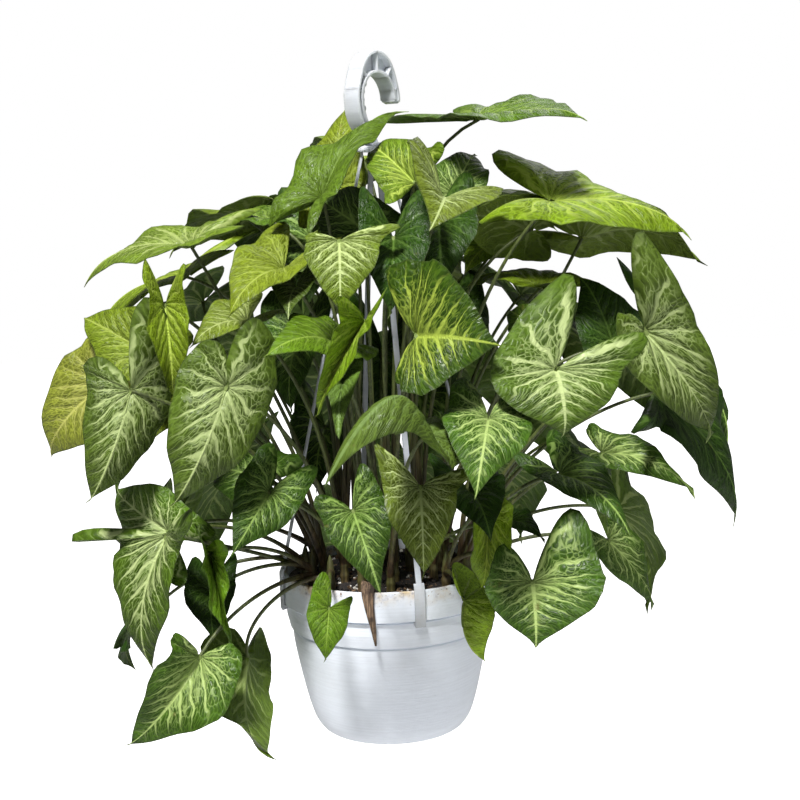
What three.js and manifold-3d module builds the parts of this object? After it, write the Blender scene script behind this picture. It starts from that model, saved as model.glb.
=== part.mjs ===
// Arrowhead plant (Syngonium podophyllum) in a white hanging pot with its hook.
//
// Millimetres, +Z up. Everything is laid out from the middle of the pot's underside, then the
// whole group is moved so that the origin is where the hook bears on whatever it hangs from.
// -Y is the front of the plant and +X its right-hand side.
import * as THREE from 'three';
import { mergeVertices } from 'three/addons/utils/BufferGeometryUtils.js';
import Module from 'manifold-3d';

const wasm = await Module();
wasm.setup();

// ---------------------------------------------------------------- driving dimensions
const GAP = 0.3;                 // clearance kept between touching pieces
const SLIVER = 0.05;             // details finer than this are dropped from the solids

const POT_HEIGHT = 154;
const POT_FLOOR = 3;
const POT_SIDES = 32;
const COLLAR_BOTTOM = 126.5;     // lower lip of the band round the rim
const COLLAR_RADIUS = 102;
const BASE_RADIUS = 60;
const DRAIN_RADIUS = 4;
const DRAIN_RING = 38;
const DRAIN_COUNT = 6;

const SOIL_TOP = 145;
const SOIL_MOUND = 5;            // how much higher the soil is in the middle
const SOIL_RADIUS = 95;

const STEM_RADIUS = 4.2;
const STEM_SIDES = 6;
const STEM_DEPTH = 24;           // how deep a stem stands in the soil
const STEM_HEIGHT = 26;          // how far a stem stands out of the soil
const PETIOLE_BOTTOM = 2.1;      // radius of a leaf stalk at the stem
const PETIOLE_TOP = 1.5;         // and at the blade
const PETIOLE_STEPS = 4;
const PETIOLE_SIDES = 3;
const BLADE = 0.8;               // thickness of a blade
const STEEPEST = 86;             // degrees above level that a stalk may leave its stem at

const HOOK_TURN = 53;            // degrees that the hook's plane is turned about Z
const HOOK_CENTRE_Z = 587;       // middle of the hook's round opening
const HOOK_INNER_RADIUS = 23;
const HOOK_SIDE = 8;             // height of the hook's section at its sides
const HOOK_CROWN = 20;           // and at its top
const HOOK_DEPTH = 17;
const HOOK_TOOTH = 3;            // radius of one of the grip teeth
const HOOK_FLANGE = 2.4;
const HOOK_WEB = 3;
const HUB_BOTTOM = 540;
const HUB_TOP = 545;
const HUB_RADIUS = 17;

const STRAP_COUNT = 4;
const STRAP_FIRST = -74.5;       // degrees about Z of the strap at the front
const STRAP_THICK = 2;
const STRAP_WIDTH = 5;
const STRAP_HEAD_WIDTH = 9;
const STRAP_RING = 12;           // distance of a strap's top from the axis
const CLIP_WIDTH = 9.5;
const CLIP_BOTTOM = 121.5;

const BEARING_Z = HOOK_CENTRE_Z + HOOK_INNER_RADIUS;

// ---------------------------------------------------------------- small helpers
const vec = (p) => new THREE.Vector3(p[0], p[1], p[2]);
const rad = (degrees) => degrees * Math.PI / 180;
const mix = (a, b, t) => a + (b - a) * t;

/** A manifold solid from shared corner points [[x, y, z], ...] and triangles [[a, b, c], ...]. */
function solid(points, triangles) {
  return new wasm.Manifold(new wasm.Mesh({
    numProp: 3,
    vertProperties: new Float32Array(points.flat()),
    triVerts: new Uint32Array(triangles.flat()),
  }));
}

/** A manifold solid from one of three.js's closed geometries. */
function solidFrom(geometry) {
  geometry.deleteAttribute('normal');
  geometry.deleteAttribute('uv');
  const merged = mergeVertices(geometry, 1e-4);
  return new wasm.Manifold(new wasm.Mesh({
    numProp: 3,
    vertProperties: new Float32Array(merged.attributes.position.array),
    triVerts: new Uint32Array(merged.index.array),
  }));
}

/** A box of the given size, centred on a point and turned about Z. */
function box(size, centre, degrees = 0) {
  const geometry = new THREE.BoxGeometry(...size);
  geometry.rotateZ(rad(degrees));
  geometry.translate(...centre);
  return solidFrom(geometry);
}

/** A round solid about Z from a profile of [radius, height] that starts and ends on the axis. */
function turned(profile, sides) {
  const points = profile.map(([r, z]) => new THREE.Vector2(r, z));
  const geometry = new THREE.LatheGeometry(points, sides);
  geometry.rotateX(Math.PI / 2);
  return solidFrom(geometry);
}

/** The rings of points joined into one closed skin, with flat ends. Rings run anticlockwise
    as seen from the far end. */
function loft(rings) {
  const sides = rings[0].length;
  const triangles = [];
  for (let i = 0; i + 1 < rings.length; i += 1) {
    for (let j = 0; j < sides; j += 1) {
      const a = i * sides + j;
      const b = i * sides + (j + 1) % sides;
      triangles.push([a, b, b + sides], [a, b + sides, a + sides]);
    }
  }
  return { points: rings.flat(), triangles, sides };
}

/** A six-sided post along Z, centred on a point. */
function upright([x, y, z], height, radiusBottom, radiusTop) {
  const geometry = new THREE.CylinderGeometry(radiusTop, radiusBottom, height, STEM_SIDES);
  geometry.rotateX(Math.PI / 2);
  geometry.translate(x, y, z);
  return solidFrom(geometry);
}

function material(color, roughness) {
  return new THREE.MeshStandardMaterial({ color, roughness, metalness: 0 });
}

const PLASTIC = material(0xe6ecf2, 0.4);
const SOIL = material(0x2b211b, 0.95);
const DRY = material(0x8a6b4c, 0.85);
const FOLIAGE = {
  deep: material(0x3f6a2b, 0.5),
  mid: material(0x5f8a3a, 0.5),
  lime: material(0x93b343, 0.5),
};

/** The named mesh of a manifold solid, without the slivers that joining leaves behind. */
function mesh(name, body, finish) {
  const { vertProperties, triVerts } = body.asOriginal().simplify(SLIVER).getMesh();
  const geometry = new THREE.BufferGeometry();
  geometry.setAttribute('position', new THREE.BufferAttribute(vertProperties, 3));
  geometry.setIndex(new THREE.BufferAttribute(triVerts, 1));
  geometry.computeVertexNormals();
  const piece = new THREE.Mesh(geometry, finish);
  piece.name = name;
  return piece;
}

// ---------------------------------------------------------------- pot and soil
// Outer side of the pot's body below the collar, as [radius, height].
const BODY_SIDE = [
  [BASE_RADIUS, 0], [69, 3], [73.5, 9], [77, 17], [82.5, 37],
  [91.3, 80], [93.2, 100], [94.6, 101.5], [95.8, COLLAR_BOTTOM],
];
// And its inner side, from the floor up to the collar.
const INNER_SIDE = [
  [BASE_RADIUS + 2, POT_FLOOR], [71.5, 10], [80.3, 37], [89.1, 80], [93.6, COLLAR_BOTTOM],
];

function pot() {
  const profile = [
    [0, 0], ...BODY_SIDE,
    [COLLAR_RADIUS - 0.7, COLLAR_BOTTOM], [COLLAR_RADIUS, COLLAR_BOTTOM + 1.5],
    [COLLAR_RADIUS - 1.2, POT_HEIGHT - 1.5], [COLLAR_RADIUS - 2, POT_HEIGHT],
    [COLLAR_RADIUS - 4.4, POT_HEIGHT], [COLLAR_RADIUS - 4.8, COLLAR_BOTTOM + 3],
    ...[...INNER_SIDE].reverse(), [0, POT_FLOOR],
  ];
  let body = turned(profile, POT_SIDES);
  for (let i = 0; i < DRAIN_COUNT; i += 1) {
    const angle = rad(30 + i * 360 / DRAIN_COUNT);
    const hole = new THREE.CylinderGeometry(DRAIN_RADIUS, DRAIN_RADIUS, 4 * POT_FLOOR, 8);
    hole.rotateX(Math.PI / 2);
    hole.translate(DRAIN_RING * Math.cos(angle), DRAIN_RING * Math.sin(angle), POT_FLOOR / 2);
    body = body.subtract(solidFrom(hole));
  }
  return mesh('pot', body, PLASTIC);
}

/** Height of the soil's surface at a distance from the axis. */
const soilHeight = (r) => SOIL_TOP + SOIL_MOUND * (1 - (r / SOIL_RADIUS) ** 2);

/** The soil fills the pot, and has a plain hole for each stem at the given [x, y] roots. */
function soil(roots) {
  const side = INNER_SIDE.map(([r, z]) => [r - 2 * GAP, z + GAP]);
  const profile = [
    [0, POT_FLOOR + GAP], ...side, [SOIL_RADIUS, SOIL_TOP],
    [SOIL_RADIUS * 0.6, soilHeight(SOIL_RADIUS * 0.6)], [0, soilHeight(0)],
  ];
  let body = turned(profile, POT_SIDES);
  for (const [x, y] of roots) {
    const radius = STEM_RADIUS + 1.5 * GAP;
    const ground = soilHeight(Math.hypot(x, y));
    body = body.subtract(upright([x, y, ground], 2 * STEM_DEPTH, radius, radius));
  }
  return mesh('soil', body, SOIL);
}

// ---------------------------------------------------------------- hanger
/** The hook's centre line as [along, up, section height, section depth] in its own plane:
    up from the hub, out to the side, over the round crown and down to the free end. */
function hookStations() {
  const stations = [
    [0, HUB_TOP - 3, HOOK_SIDE, 8], [-4, HUB_TOP + 4.5, HOOK_SIDE, 9],
    [-13, 556, HOOK_SIDE, 13], [-21.5, 565, HOOK_SIDE, HOOK_DEPTH],
    [-26, 576, HOOK_SIDE, HOOK_DEPTH],
  ];
  const steps = 8;
  for (let i = 0; i <= steps; i += 1) {
    const turn = Math.PI * (1 - i / steps);
    const height = mix(HOOK_SIDE, HOOK_CROWN, Math.sin(turn) ** 4);
    const r = HOOK_INNER_RADIUS + height / 2;
    stations.push([r * Math.cos(turn), HOOK_CENTRE_Z + r * Math.sin(turn), height, HOOK_DEPTH]);
  }
  stations.push([26.2, 584.5, HOOK_SIDE - 2, HOOK_DEPTH - 3]);
  return stations;
}

function hook() {
  const stations = hookStations();
  const turn = rad(HOOK_TURN);
  const along = [Math.cos(turn), Math.sin(turn)];
  const across = [-Math.sin(turn), Math.cos(turn)];
  const place = (s, z, d) => [
    s * along[0] + d * across[0], s * along[1] + d * across[1], z,
  ];
  const section = (height, depth) => {
    const h = height / 2;
    const f = h - HOOK_FLANGE;
    const d = depth / 2;
    const w = HOOK_WEB / 2;
    return [
      [-h, -d], [-f, -d], [-f, -w], [f, -w], [f, -d], [h, -d],
      [h, d], [f, d], [f, w], [-f, w], [-f, d], [-h, d],
    ];
  };
  const rings = stations.map(([s, z, height, depth], i) => {
    const before = stations[Math.max(i - 1, 0)];
    const after = stations[Math.min(i + 1, stations.length - 1)];
    const run = Math.hypot(after[0] - before[0], after[1] - before[1]);
    const outward = [-(after[1] - before[1]) / run, (after[0] - before[0]) / run];
    return section(height, depth)
      .map(([n, d]) => place(s + n * outward[0], z + n * outward[1], d));
  });
  const skin = loft(rings);
  const outline = section(HOOK_SIDE, HOOK_DEPTH).map(([n, d]) => new THREE.Vector2(n, d));
  const cap = THREE.ShapeUtils.triangulateShape(outline, []);
  const last = (rings.length - 1) * skin.sides;
  for (const [a, b, c] of cap) {
    skin.triangles.push([a, b, c].reverse(), [last + a, last + b, last + c]);
  }
  let body = solid(skin.points, skin.triangles);
  if (body.volume() < 0) {
    body = solid(skin.points, skin.triangles.map((t) => t.reverse()));
  }
  // ribs across the channels, standing square to the centre line at the crown and the sides
  for (const degrees of [165, 130, 90, 55, 20]) {
    const a = rad(degrees);
    const height = mix(HOOK_SIDE, HOOK_CROWN, Math.sin(a) ** 4);
    const r = HOOK_INNER_RADIUS + height / 2;
    const rib = new THREE.BoxGeometry(height - 1, HOOK_DEPTH - 1.5, 1.6);
    rib.rotateY(-a);
    rib.translate(r * Math.cos(a), 0, r * Math.sin(a));
    rib.rotateZ(turn);
    rib.translate(0, 0, HOOK_CENTRE_Z);
    body = body.add(solidFrom(rib));
  }
  // round grip teeth on the inner face of the long side
  for (const degrees of [146, 165, 184, 203]) {
    const a = rad(degrees);
    const [x, y, z] = place(
      HOOK_INNER_RADIUS * Math.cos(a), HOOK_CENTRE_Z + HOOK_INNER_RADIUS * Math.sin(a), 0,
    );
    const tooth = new THREE.CylinderGeometry(HOOK_TOOTH, HOOK_TOOTH, HOOK_DEPTH - 3, 6);
    tooth.rotateZ(turn);
    tooth.translate(x, y, z);
    body = body.add(solidFrom(tooth));
  }
  // the hub under it, with a slot for each strap
  const hub = turned([
    [0, HUB_BOTTOM], [HUB_RADIUS - 1, HUB_BOTTOM], [HUB_RADIUS, HUB_BOTTOM + 1],
    [HUB_RADIUS, HUB_TOP - 1], [HUB_RADIUS - 1, HUB_TOP], [0, HUB_TOP],
  ], 16);
  body = body.add(hub);
  for (let i = 0; i < STRAP_COUNT; i += 1) {
    const degrees = STRAP_FIRST + i * 360 / STRAP_COUNT;
    const slot = [STRAP_THICK + 2 * GAP, STRAP_WIDTH + 2 * GAP, 30];
    const x = STRAP_RING * Math.cos(rad(degrees));
    const y = STRAP_RING * Math.sin(rad(degrees));
    body = body.subtract(box(slot, [x, y, HUB_BOTTOM], degrees));
    const room = [STRAP_THICK + 3, STRAP_HEAD_WIDTH + 3, 14];
    body = body.subtract(box(room, [x, y, HUB_TOP + 7], degrees));
  }
  return mesh('hanger_hook', body, PLASTIC);
}

/** A flat outline of [radius, height] points given a width and stood in the plane at an angle. */
function plate(outline, width, degrees) {
  const shape = new THREE.Shape(outline.map(([r, z]) => new THREE.Vector2(r, z)));
  const geometry = new THREE.ExtrudeGeometry(shape, { depth: width, bevelEnabled: false });
  geometry.translate(0, 0, -width / 2);
  geometry.rotateX(Math.PI / 2);
  geometry.rotateZ(rad(degrees));
  return solidFrom(geometry);
}

/** One strap: a head above the hub, a straight run to the rim and a clip over the collar. */
function strap(name, degrees) {
  const inner = STRAP_RING - STRAP_THICK / 2;
  const outer = STRAP_RING + STRAP_THICK / 2;
  const clipIn = COLLAR_RADIUS + 0.4;
  const clipOut = clipIn + 2.2;
  const run = [
    [inner, HUB_TOP + GAP], [inner, HUB_BOTTOM - 3], [COLLAR_RADIUS - 2.6, 164],
    [clipIn, POT_HEIGHT + 2], [clipOut, POT_HEIGHT + 2], [COLLAR_RADIUS - 0.4, 165],
    [outer, HUB_BOTTOM - 3], [outer, HUB_TOP + GAP],
  ];
  const head = [
    [inner, HUB_TOP + GAP], [outer, HUB_TOP + GAP],
    [outer, HUB_TOP + 3], [inner, HUB_TOP + 3],
  ];
  const clip = [
    [COLLAR_RADIUS - 1.6, POT_HEIGHT + 7], [clipIn, POT_HEIGHT + 1],
    [clipIn, COLLAR_BOTTOM - 0.5], [COLLAR_RADIUS - 3.5, COLLAR_BOTTOM - 0.5],
    [COLLAR_RADIUS - 3.5, CLIP_BOTTOM + 1.5], [clipOut, CLIP_BOTTOM],
    [clipOut, POT_HEIGHT + 2], [COLLAR_RADIUS + 0.6, POT_HEIGHT + 7],
  ];
  const body = plate(run, STRAP_WIDTH, degrees)
    .add(plate(head, STRAP_HEAD_WIDTH, degrees))
    .add(plate(clip, CLIP_WIDTH, degrees));
  return mesh(name, body, PLASTIC);
}

// ---------------------------------------------------------------- leaves
// Half of an arrowhead blade, flat: [along the midrib from the stalk, out to the side], for a
// blade one unit long from the stalk to the tip. It runs from the tip round the shoulder and
// the pointed ear to the notch at the stalk.
const HALF_OUTLINE = [
  [1, 0], [0.74, 0.16], [0.42, 0.35], [0.04, 0.46], [-0.34, 0.445], [-0.56, 0.36], [-0.4, 0.15],
];
const EAR = [-0.56, 0.36];       // the outline point that is the ear's tip
const EAR_ANGLE = Math.atan2(EAR[1], EAR[0]);
const EAR_REACH = Math.hypot(EAR[0], EAR[1]);
const EAR_NECK = 0.4;            // how far out along the ear its full squeeze is reached
const INNER_RING = [[0, 0.52], [2, 0.5], [4, 0.52]];   // outline point, share of the way to it

/**
 * A leaf's place: where the stalk meets the blade, the blade's tip and the tips of its left
 * and right ears, seen from its upper face with the tip away from the viewer. The rest says
 * how it is bent:
 *   arch   how far the blade bulges up between these points, as a share of the distance
 *   bend   how far its middle stands above the line from the stalk to the tip, likewise
 *   wide   its width against the outline above
 *   lobe   the width of its ears against the outline's
 *   sides  the ways its left and right halves lie out from the midrib, for a leaf whose ears
 *          reach round past the line of the midrib; otherwise each ear gives its half's way
 *   bow    how many degrees the stalk leaves its straight line by, upwards
 *   sway   the same, sideways
 */
function leaf(base, tip, left, right, shape = {}) {
  return {
    base: vec(base), tip: vec(tip), left: vec(left), right: vec(right),
    arch: 0.1, bend: 0.06, wide: 1, lobe: 0.85, bow: 28, sway: 0, sides: null, ...shape,
  };
}

/** A leaf whose ears aren't given: it faces the given way and its ears lie in its plane. */
function facing(base, tip, face, shape = {}) {
  const axis = vec(tip).sub(vec(base));
  const right = axis.clone().cross(vec(face)).normalize().multiplyScalar(axis.length());
  const ear = (side) => vec(base).addScaledVector(axis, EAR[0])
    .addScaledVector(right, side * EAR[1]).toArray();
  return leaf(base, tip, ear(-1), ear(1), shape);
}

/** How one half of a blade lies: its flat direction out from the midrib, and how far its ear
    is turned and stretched from the outline's. */
function halfFrame(axis, length, ear, side) {
  const out = side.clone().addScaledVector(axis, -side.dot(axis)).normalize();
  const x = ear.dot(axis);
  const y = ear.dot(out);
  const angle = (Math.atan2(y, x) + 2 * Math.PI) % (2 * Math.PI);
  return { out, turn: angle - EAR_ANGLE, stretch: Math.hypot(x, y) / length / EAR_REACH - 1 };
}

function bladeFrame(place) {
  const chord = place.tip.clone().sub(place.base);
  const length = chord.length();
  const axis = chord.normalize();
  const [left, right] = [place.left, place.right].map((tip, i) => {
    const ear = tip.clone().sub(place.base);
    return halfFrame(axis, length, ear, place.sides ? vec(place.sides[i]) : ear);
  });
  const up = new THREE.Vector3().crossVectors(right.out, axis)
    .add(new THREE.Vector3().crossVectors(axis, left.out)).normalize();
  return { axis, left, right, up, length };
}

/** The outline point with the ear squeezed across the line from the stalk to the ear's tip.
    The squeeze grows over the first part of that line. */
function squeezed([x, y], lobe) {
  const [ex, ey] = EAR.map((value) => value / EAR_REACH);
  const along = x * ex + y * ey;
  const share = Math.min(Math.max(along / EAR_NECK, 0), 1);
  const keep = mix(1, lobe, share * share * (3 - 2 * share));
  return [mix(along * ex, x, keep), mix(along * ey, y, keep)];
}

/** The blade's point at a share of the way from the stalk to an outline point of one half.
    Angles about the stalk swing with the ear and distances stretch with it, more the nearer
    they are to it, and the whole blade arches along every line out of the stalk. */
function bladePoint(place, frame, side, outline, share) {
  const half = side < 0 ? frame.left : frame.right;
  const [x, y] = squeezed(outline, place.lobe);
  const flat = Math.atan2(y, x);
  const pull = Math.min(flat / EAR_ANGLE, 1) ** 2;
  const angle = flat + half.turn * pull;
  const reach = Math.hypot(x, y) * (1 + half.stretch * pull ** 2) * frame.length;
  const width = mix(place.wide * Math.max(1 + half.stretch, 1) ** 0.6, 1, pull);
  const along = reach * share * Math.cos(angle);
  const way = Math.max(along / frame.length, 0);
  const lift = place.arch * reach * 4 * share * (1 - share)
    + place.bend * frame.length * 4 * way * (1 - way);
  return place.base.clone()
    .addScaledVector(frame.axis, along)
    .addScaledVector(half.out, reach * share * Math.sin(angle) * width)
    .addScaledVector(frame.up, lift);
}

/** The blade as a closed sheet: one net of triangles, once for each face, and its rim. */
function blade(place) {
  const frame = bladeFrame(place);
  const net = [place.base.clone()];
  const inner = { '-1': [], '1': [] };
  const outer = { '-1': [], '1': [] };
  for (const side of [-1, 1]) {
    for (const [index, share] of INNER_RING) {
      if (index === 0 && side === 1) {
        inner[side].push(inner['-1'][0]);
      } else {
        inner[side].push(net.length);
        net.push(bladePoint(place, frame, side, HALF_OUTLINE[index], share));
      }
    }
    HALF_OUTLINE.forEach((point, index) => {
      if (index === 0 && side === 1) {
        outer[side].push(outer['-1'][0]);
      } else {
        outer[side].push(net.length);
        net.push(bladePoint(place, frame, side, point, 1));
      }
    });
  }
  const sheet = [];
  for (const side of [-1, 1]) {
    const n = inner[side];
    const m = outer[side];
    const half = [
      [0, n[0], n[1]], [0, n[1], n[2]], [0, n[2], m[6]],
      [n[0], m[0], m[1]], [n[0], m[1], n[1]], [n[1], m[1], m[2]], [n[1], m[2], m[3]],
      [n[1], m[3], n[2]], [n[2], m[3], m[4]], [n[2], m[4], m[5]], [n[2], m[5], m[6]],
    ];
    sheet.push(...(side < 0 ? half.map((t) => [t[0], t[2], t[1]]) : half));
  }
  // sheet triangles turn clockwise seen from above on the right half, so flip them all
  const top = sheet.map(([a, b, c]) => [a, c, b]);
  const normals = net.map(() => new THREE.Vector3());
  for (const [a, b, c] of top) {
    const normal = net[b].clone().sub(net[a]).cross(net[c].clone().sub(net[a])).normalize();
    for (const i of [a, b, c]) {
      normals[i].add(normal);
    }
  }
  const count = net.length;
  const points = [];
  for (const sign of [0.5, -0.5]) {
    net.forEach((point, i) => {
      const offset = normals[i].clone().normalize().multiplyScalar(sign * BLADE);
      points.push(point.clone().add(offset).toArray());
    });
  }
  const edges = new Set(top.flatMap(([a, b, c]) => [`${a},${b}`, `${b},${c}`, `${c},${a}`]));
  const triangles = top.flatMap(([a, b, c]) => [[a, b, c], [a + count, c + count, b + count]]);
  for (const edge of edges) {
    const [a, b] = edge.split(',').map(Number);
    if (!edges.has(`${b},${a}`)) {
      triangles.push([b, a, a + count], [b, a + count, b + count]);
    }
  }
  const body = solid(points, triangles);
  return body.volume() > 0 ? body : solid(points, triangles.map(([a, b, c]) => [a, c, b]));
}

/** A tapering stalk along a curve, three-sided because it is channelled on its upper side. */
function stalk(curve, radiusStart = PETIOLE_BOTTOM, radiusEnd = PETIOLE_TOP) {
  const steps = PETIOLE_STEPS;
  const sides = PETIOLE_SIDES;
  const rings = [];
  const across = new THREE.Vector3();
  for (let i = 0; i <= steps; i += 1) {
    const tangent = curve.getTangent(i / steps);
    if (i === 0) {
      across.set(-tangent.y, tangent.x, 0.01).normalize();
    }
    across.addScaledVector(tangent, -across.dot(tangent)).normalize();
    const other = new THREE.Vector3().crossVectors(tangent, across);
    const centre = curve.getPoint(i / steps);
    const radius = mix(radiusStart, radiusEnd, i / steps);
    const ring = [];
    for (let j = 0; j < sides; j += 1) {
      const angle = 2 * Math.PI * j / sides;
      ring.push(centre.clone()
        .addScaledVector(across, radius * Math.cos(angle))
        .addScaledVector(other, radius * Math.sin(angle)).toArray());
    }
    rings.push(ring);
  }
  const skin = loft(rings);
  const last = steps * sides;
  for (let j = 1; j + 1 < sides; j += 1) {
    skin.triangles.push([0, j + 1, j], [last, last + j, last + j + 1]);
  }
  return solid(skin.points, skin.triangles);
}

/** The curve of a leaf's stalk: it leaves the stem steeper than the straight line to the
    blade, and arrives flatter, by the leaf's bow, and likewise sideways by its sway. */
function stalkCurve(start, place) {
  const chord = place.base.clone().sub(start);
  const level = Math.hypot(chord.x, chord.y);
  const slope = Math.atan2(chord.z, level);
  const reach = chord.length() / 3;
  const course = Math.atan2(chord.y, chord.x);
  const heading = (angle, turn) => new THREE.Vector3(
    Math.cos(course + turn) * Math.cos(angle), Math.sin(course + turn) * Math.cos(angle),
    Math.sin(angle),
  );
  const bow = rad(place.bow);
  const sway = rad(place.sway);
  const leave = heading(Math.min(slope + bow, rad(STEEPEST)), sway);
  const from = start.clone().addScaledVector(leave, reach);
  const to = place.base.clone().addScaledVector(heading(slope - bow, -sway), -reach);
  return new THREE.CubicBezierCurve3(start, from, to, place.base);
}

/** A leafy shoot: a stem standing in the soil at [x, y], and its leaves. */
function shoot(name, [x, y], colour, leaves) {
  const ground = soilHeight(Math.hypot(x, y));
  const height = STEM_HEIGHT + STEM_DEPTH - GAP;
  const middle = ground + STEM_HEIGHT - height / 2;
  let body = upright([x, y, middle], height, STEM_RADIUS, STEM_RADIUS * 0.75);
  leaves.forEach((place, i) => {
    const rise = STEM_HEIGHT * mix(0.3, 0.9, (i + 1) / (leaves.length + 1));
    const curve = stalkCurve(new THREE.Vector3(x, y, ground + rise), place);
    body = body.add(stalk(curve)).add(blade(place));
  });
  return { piece: mesh(name, body, FOLIAGE[colour]), root: [x, y] };
}

/** The withered leaf sheath that rises from the soil, folds over the rim at the front and hangs
    before the collar in a narrow point: [x, y, z, half its width] along it. */
const DRY_LEAF = [
  [-15, -82, 126, 2.2], [-15, -82.5, 149, 2.4], [-16, -86, 160, 4], [-17, -94, 165, 6],
  [-18, -101, 161, 6.5], [-18, -104.5, 150, 5.5], [-16, -105.5, 138, 4.5], [-14, -106, 124, 3],
  [-12.5, -106.5, 108, 1.2],
];
const DRY_LEAF_THICK = 1.2;

function dryLeaf() {
  const rings = DRY_LEAF.map(([x, y, z, half], i) => {
    const before = DRY_LEAF[Math.max(i - 1, 0)];
    const after = DRY_LEAF[Math.min(i + 1, DRY_LEAF.length - 1)];
    const run = Math.hypot(after[1] - before[1], after[2] - before[2]);
    const face = [-(after[2] - before[2]) / run, (after[1] - before[1]) / run];
    const point = (across, side) => [
      x + across * half,
      y + side * face[0] * DRY_LEAF_THICK / 2,
      z + side * face[1] * DRY_LEAF_THICK / 2,
    ];
    // the middle stands forward of the edges, so that the sheath is curled along its length
    const curl = half * 0.25;
    const keel = (side) => {
      const [kx, ky, kz] = point(0, side);
      return [kx, ky + curl * face[0], kz + curl * face[1]];
    };
    return [point(-1, -1), keel(-1), point(1, -1), point(1, 1), keel(1), point(-1, 1)];
  });
  const skin = loft(rings);
  const last = (rings.length - 1) * skin.sides;
  for (const [a, b, c] of [[0, 1, 5], [1, 4, 5], [1, 2, 4], [2, 3, 4]]) {
    skin.triangles.push([a, c, b], [last + a, last + b, last + c]);
  }
  const body = solid(skin.points, skin.triangles);
  return body.volume() > 0
    ? body
    : solid(skin.points, skin.triangles.map(([a, b, c]) => [a, c, b]));
}

/** A leaf of the rear and the sides, placed by the direction its stalk leans, how far out and
    how high it is carried, its length, how far its tip droops and how it rolls. */
function rear(azimuth, out, height, length, droop, roll, shape = {}) {
  const a = rad(azimuth);
  const d = rad(droop);
  const away = new THREE.Vector3(Math.cos(a), Math.sin(a), 0);
  const axis = away.clone().multiplyScalar(Math.cos(d)).setZ(-Math.sin(d));
  const face = away.clone().multiplyScalar(Math.sin(d)).setZ(Math.cos(d))
    .applyAxisAngle(axis, rad(roll));
  const base = away.clone().multiplyScalar(out).setZ(height);
  const tip = base.clone().addScaledVector(axis, length);
  return facing(base.toArray(), tip.toArray(), face.toArray(), shape);
}

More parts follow.
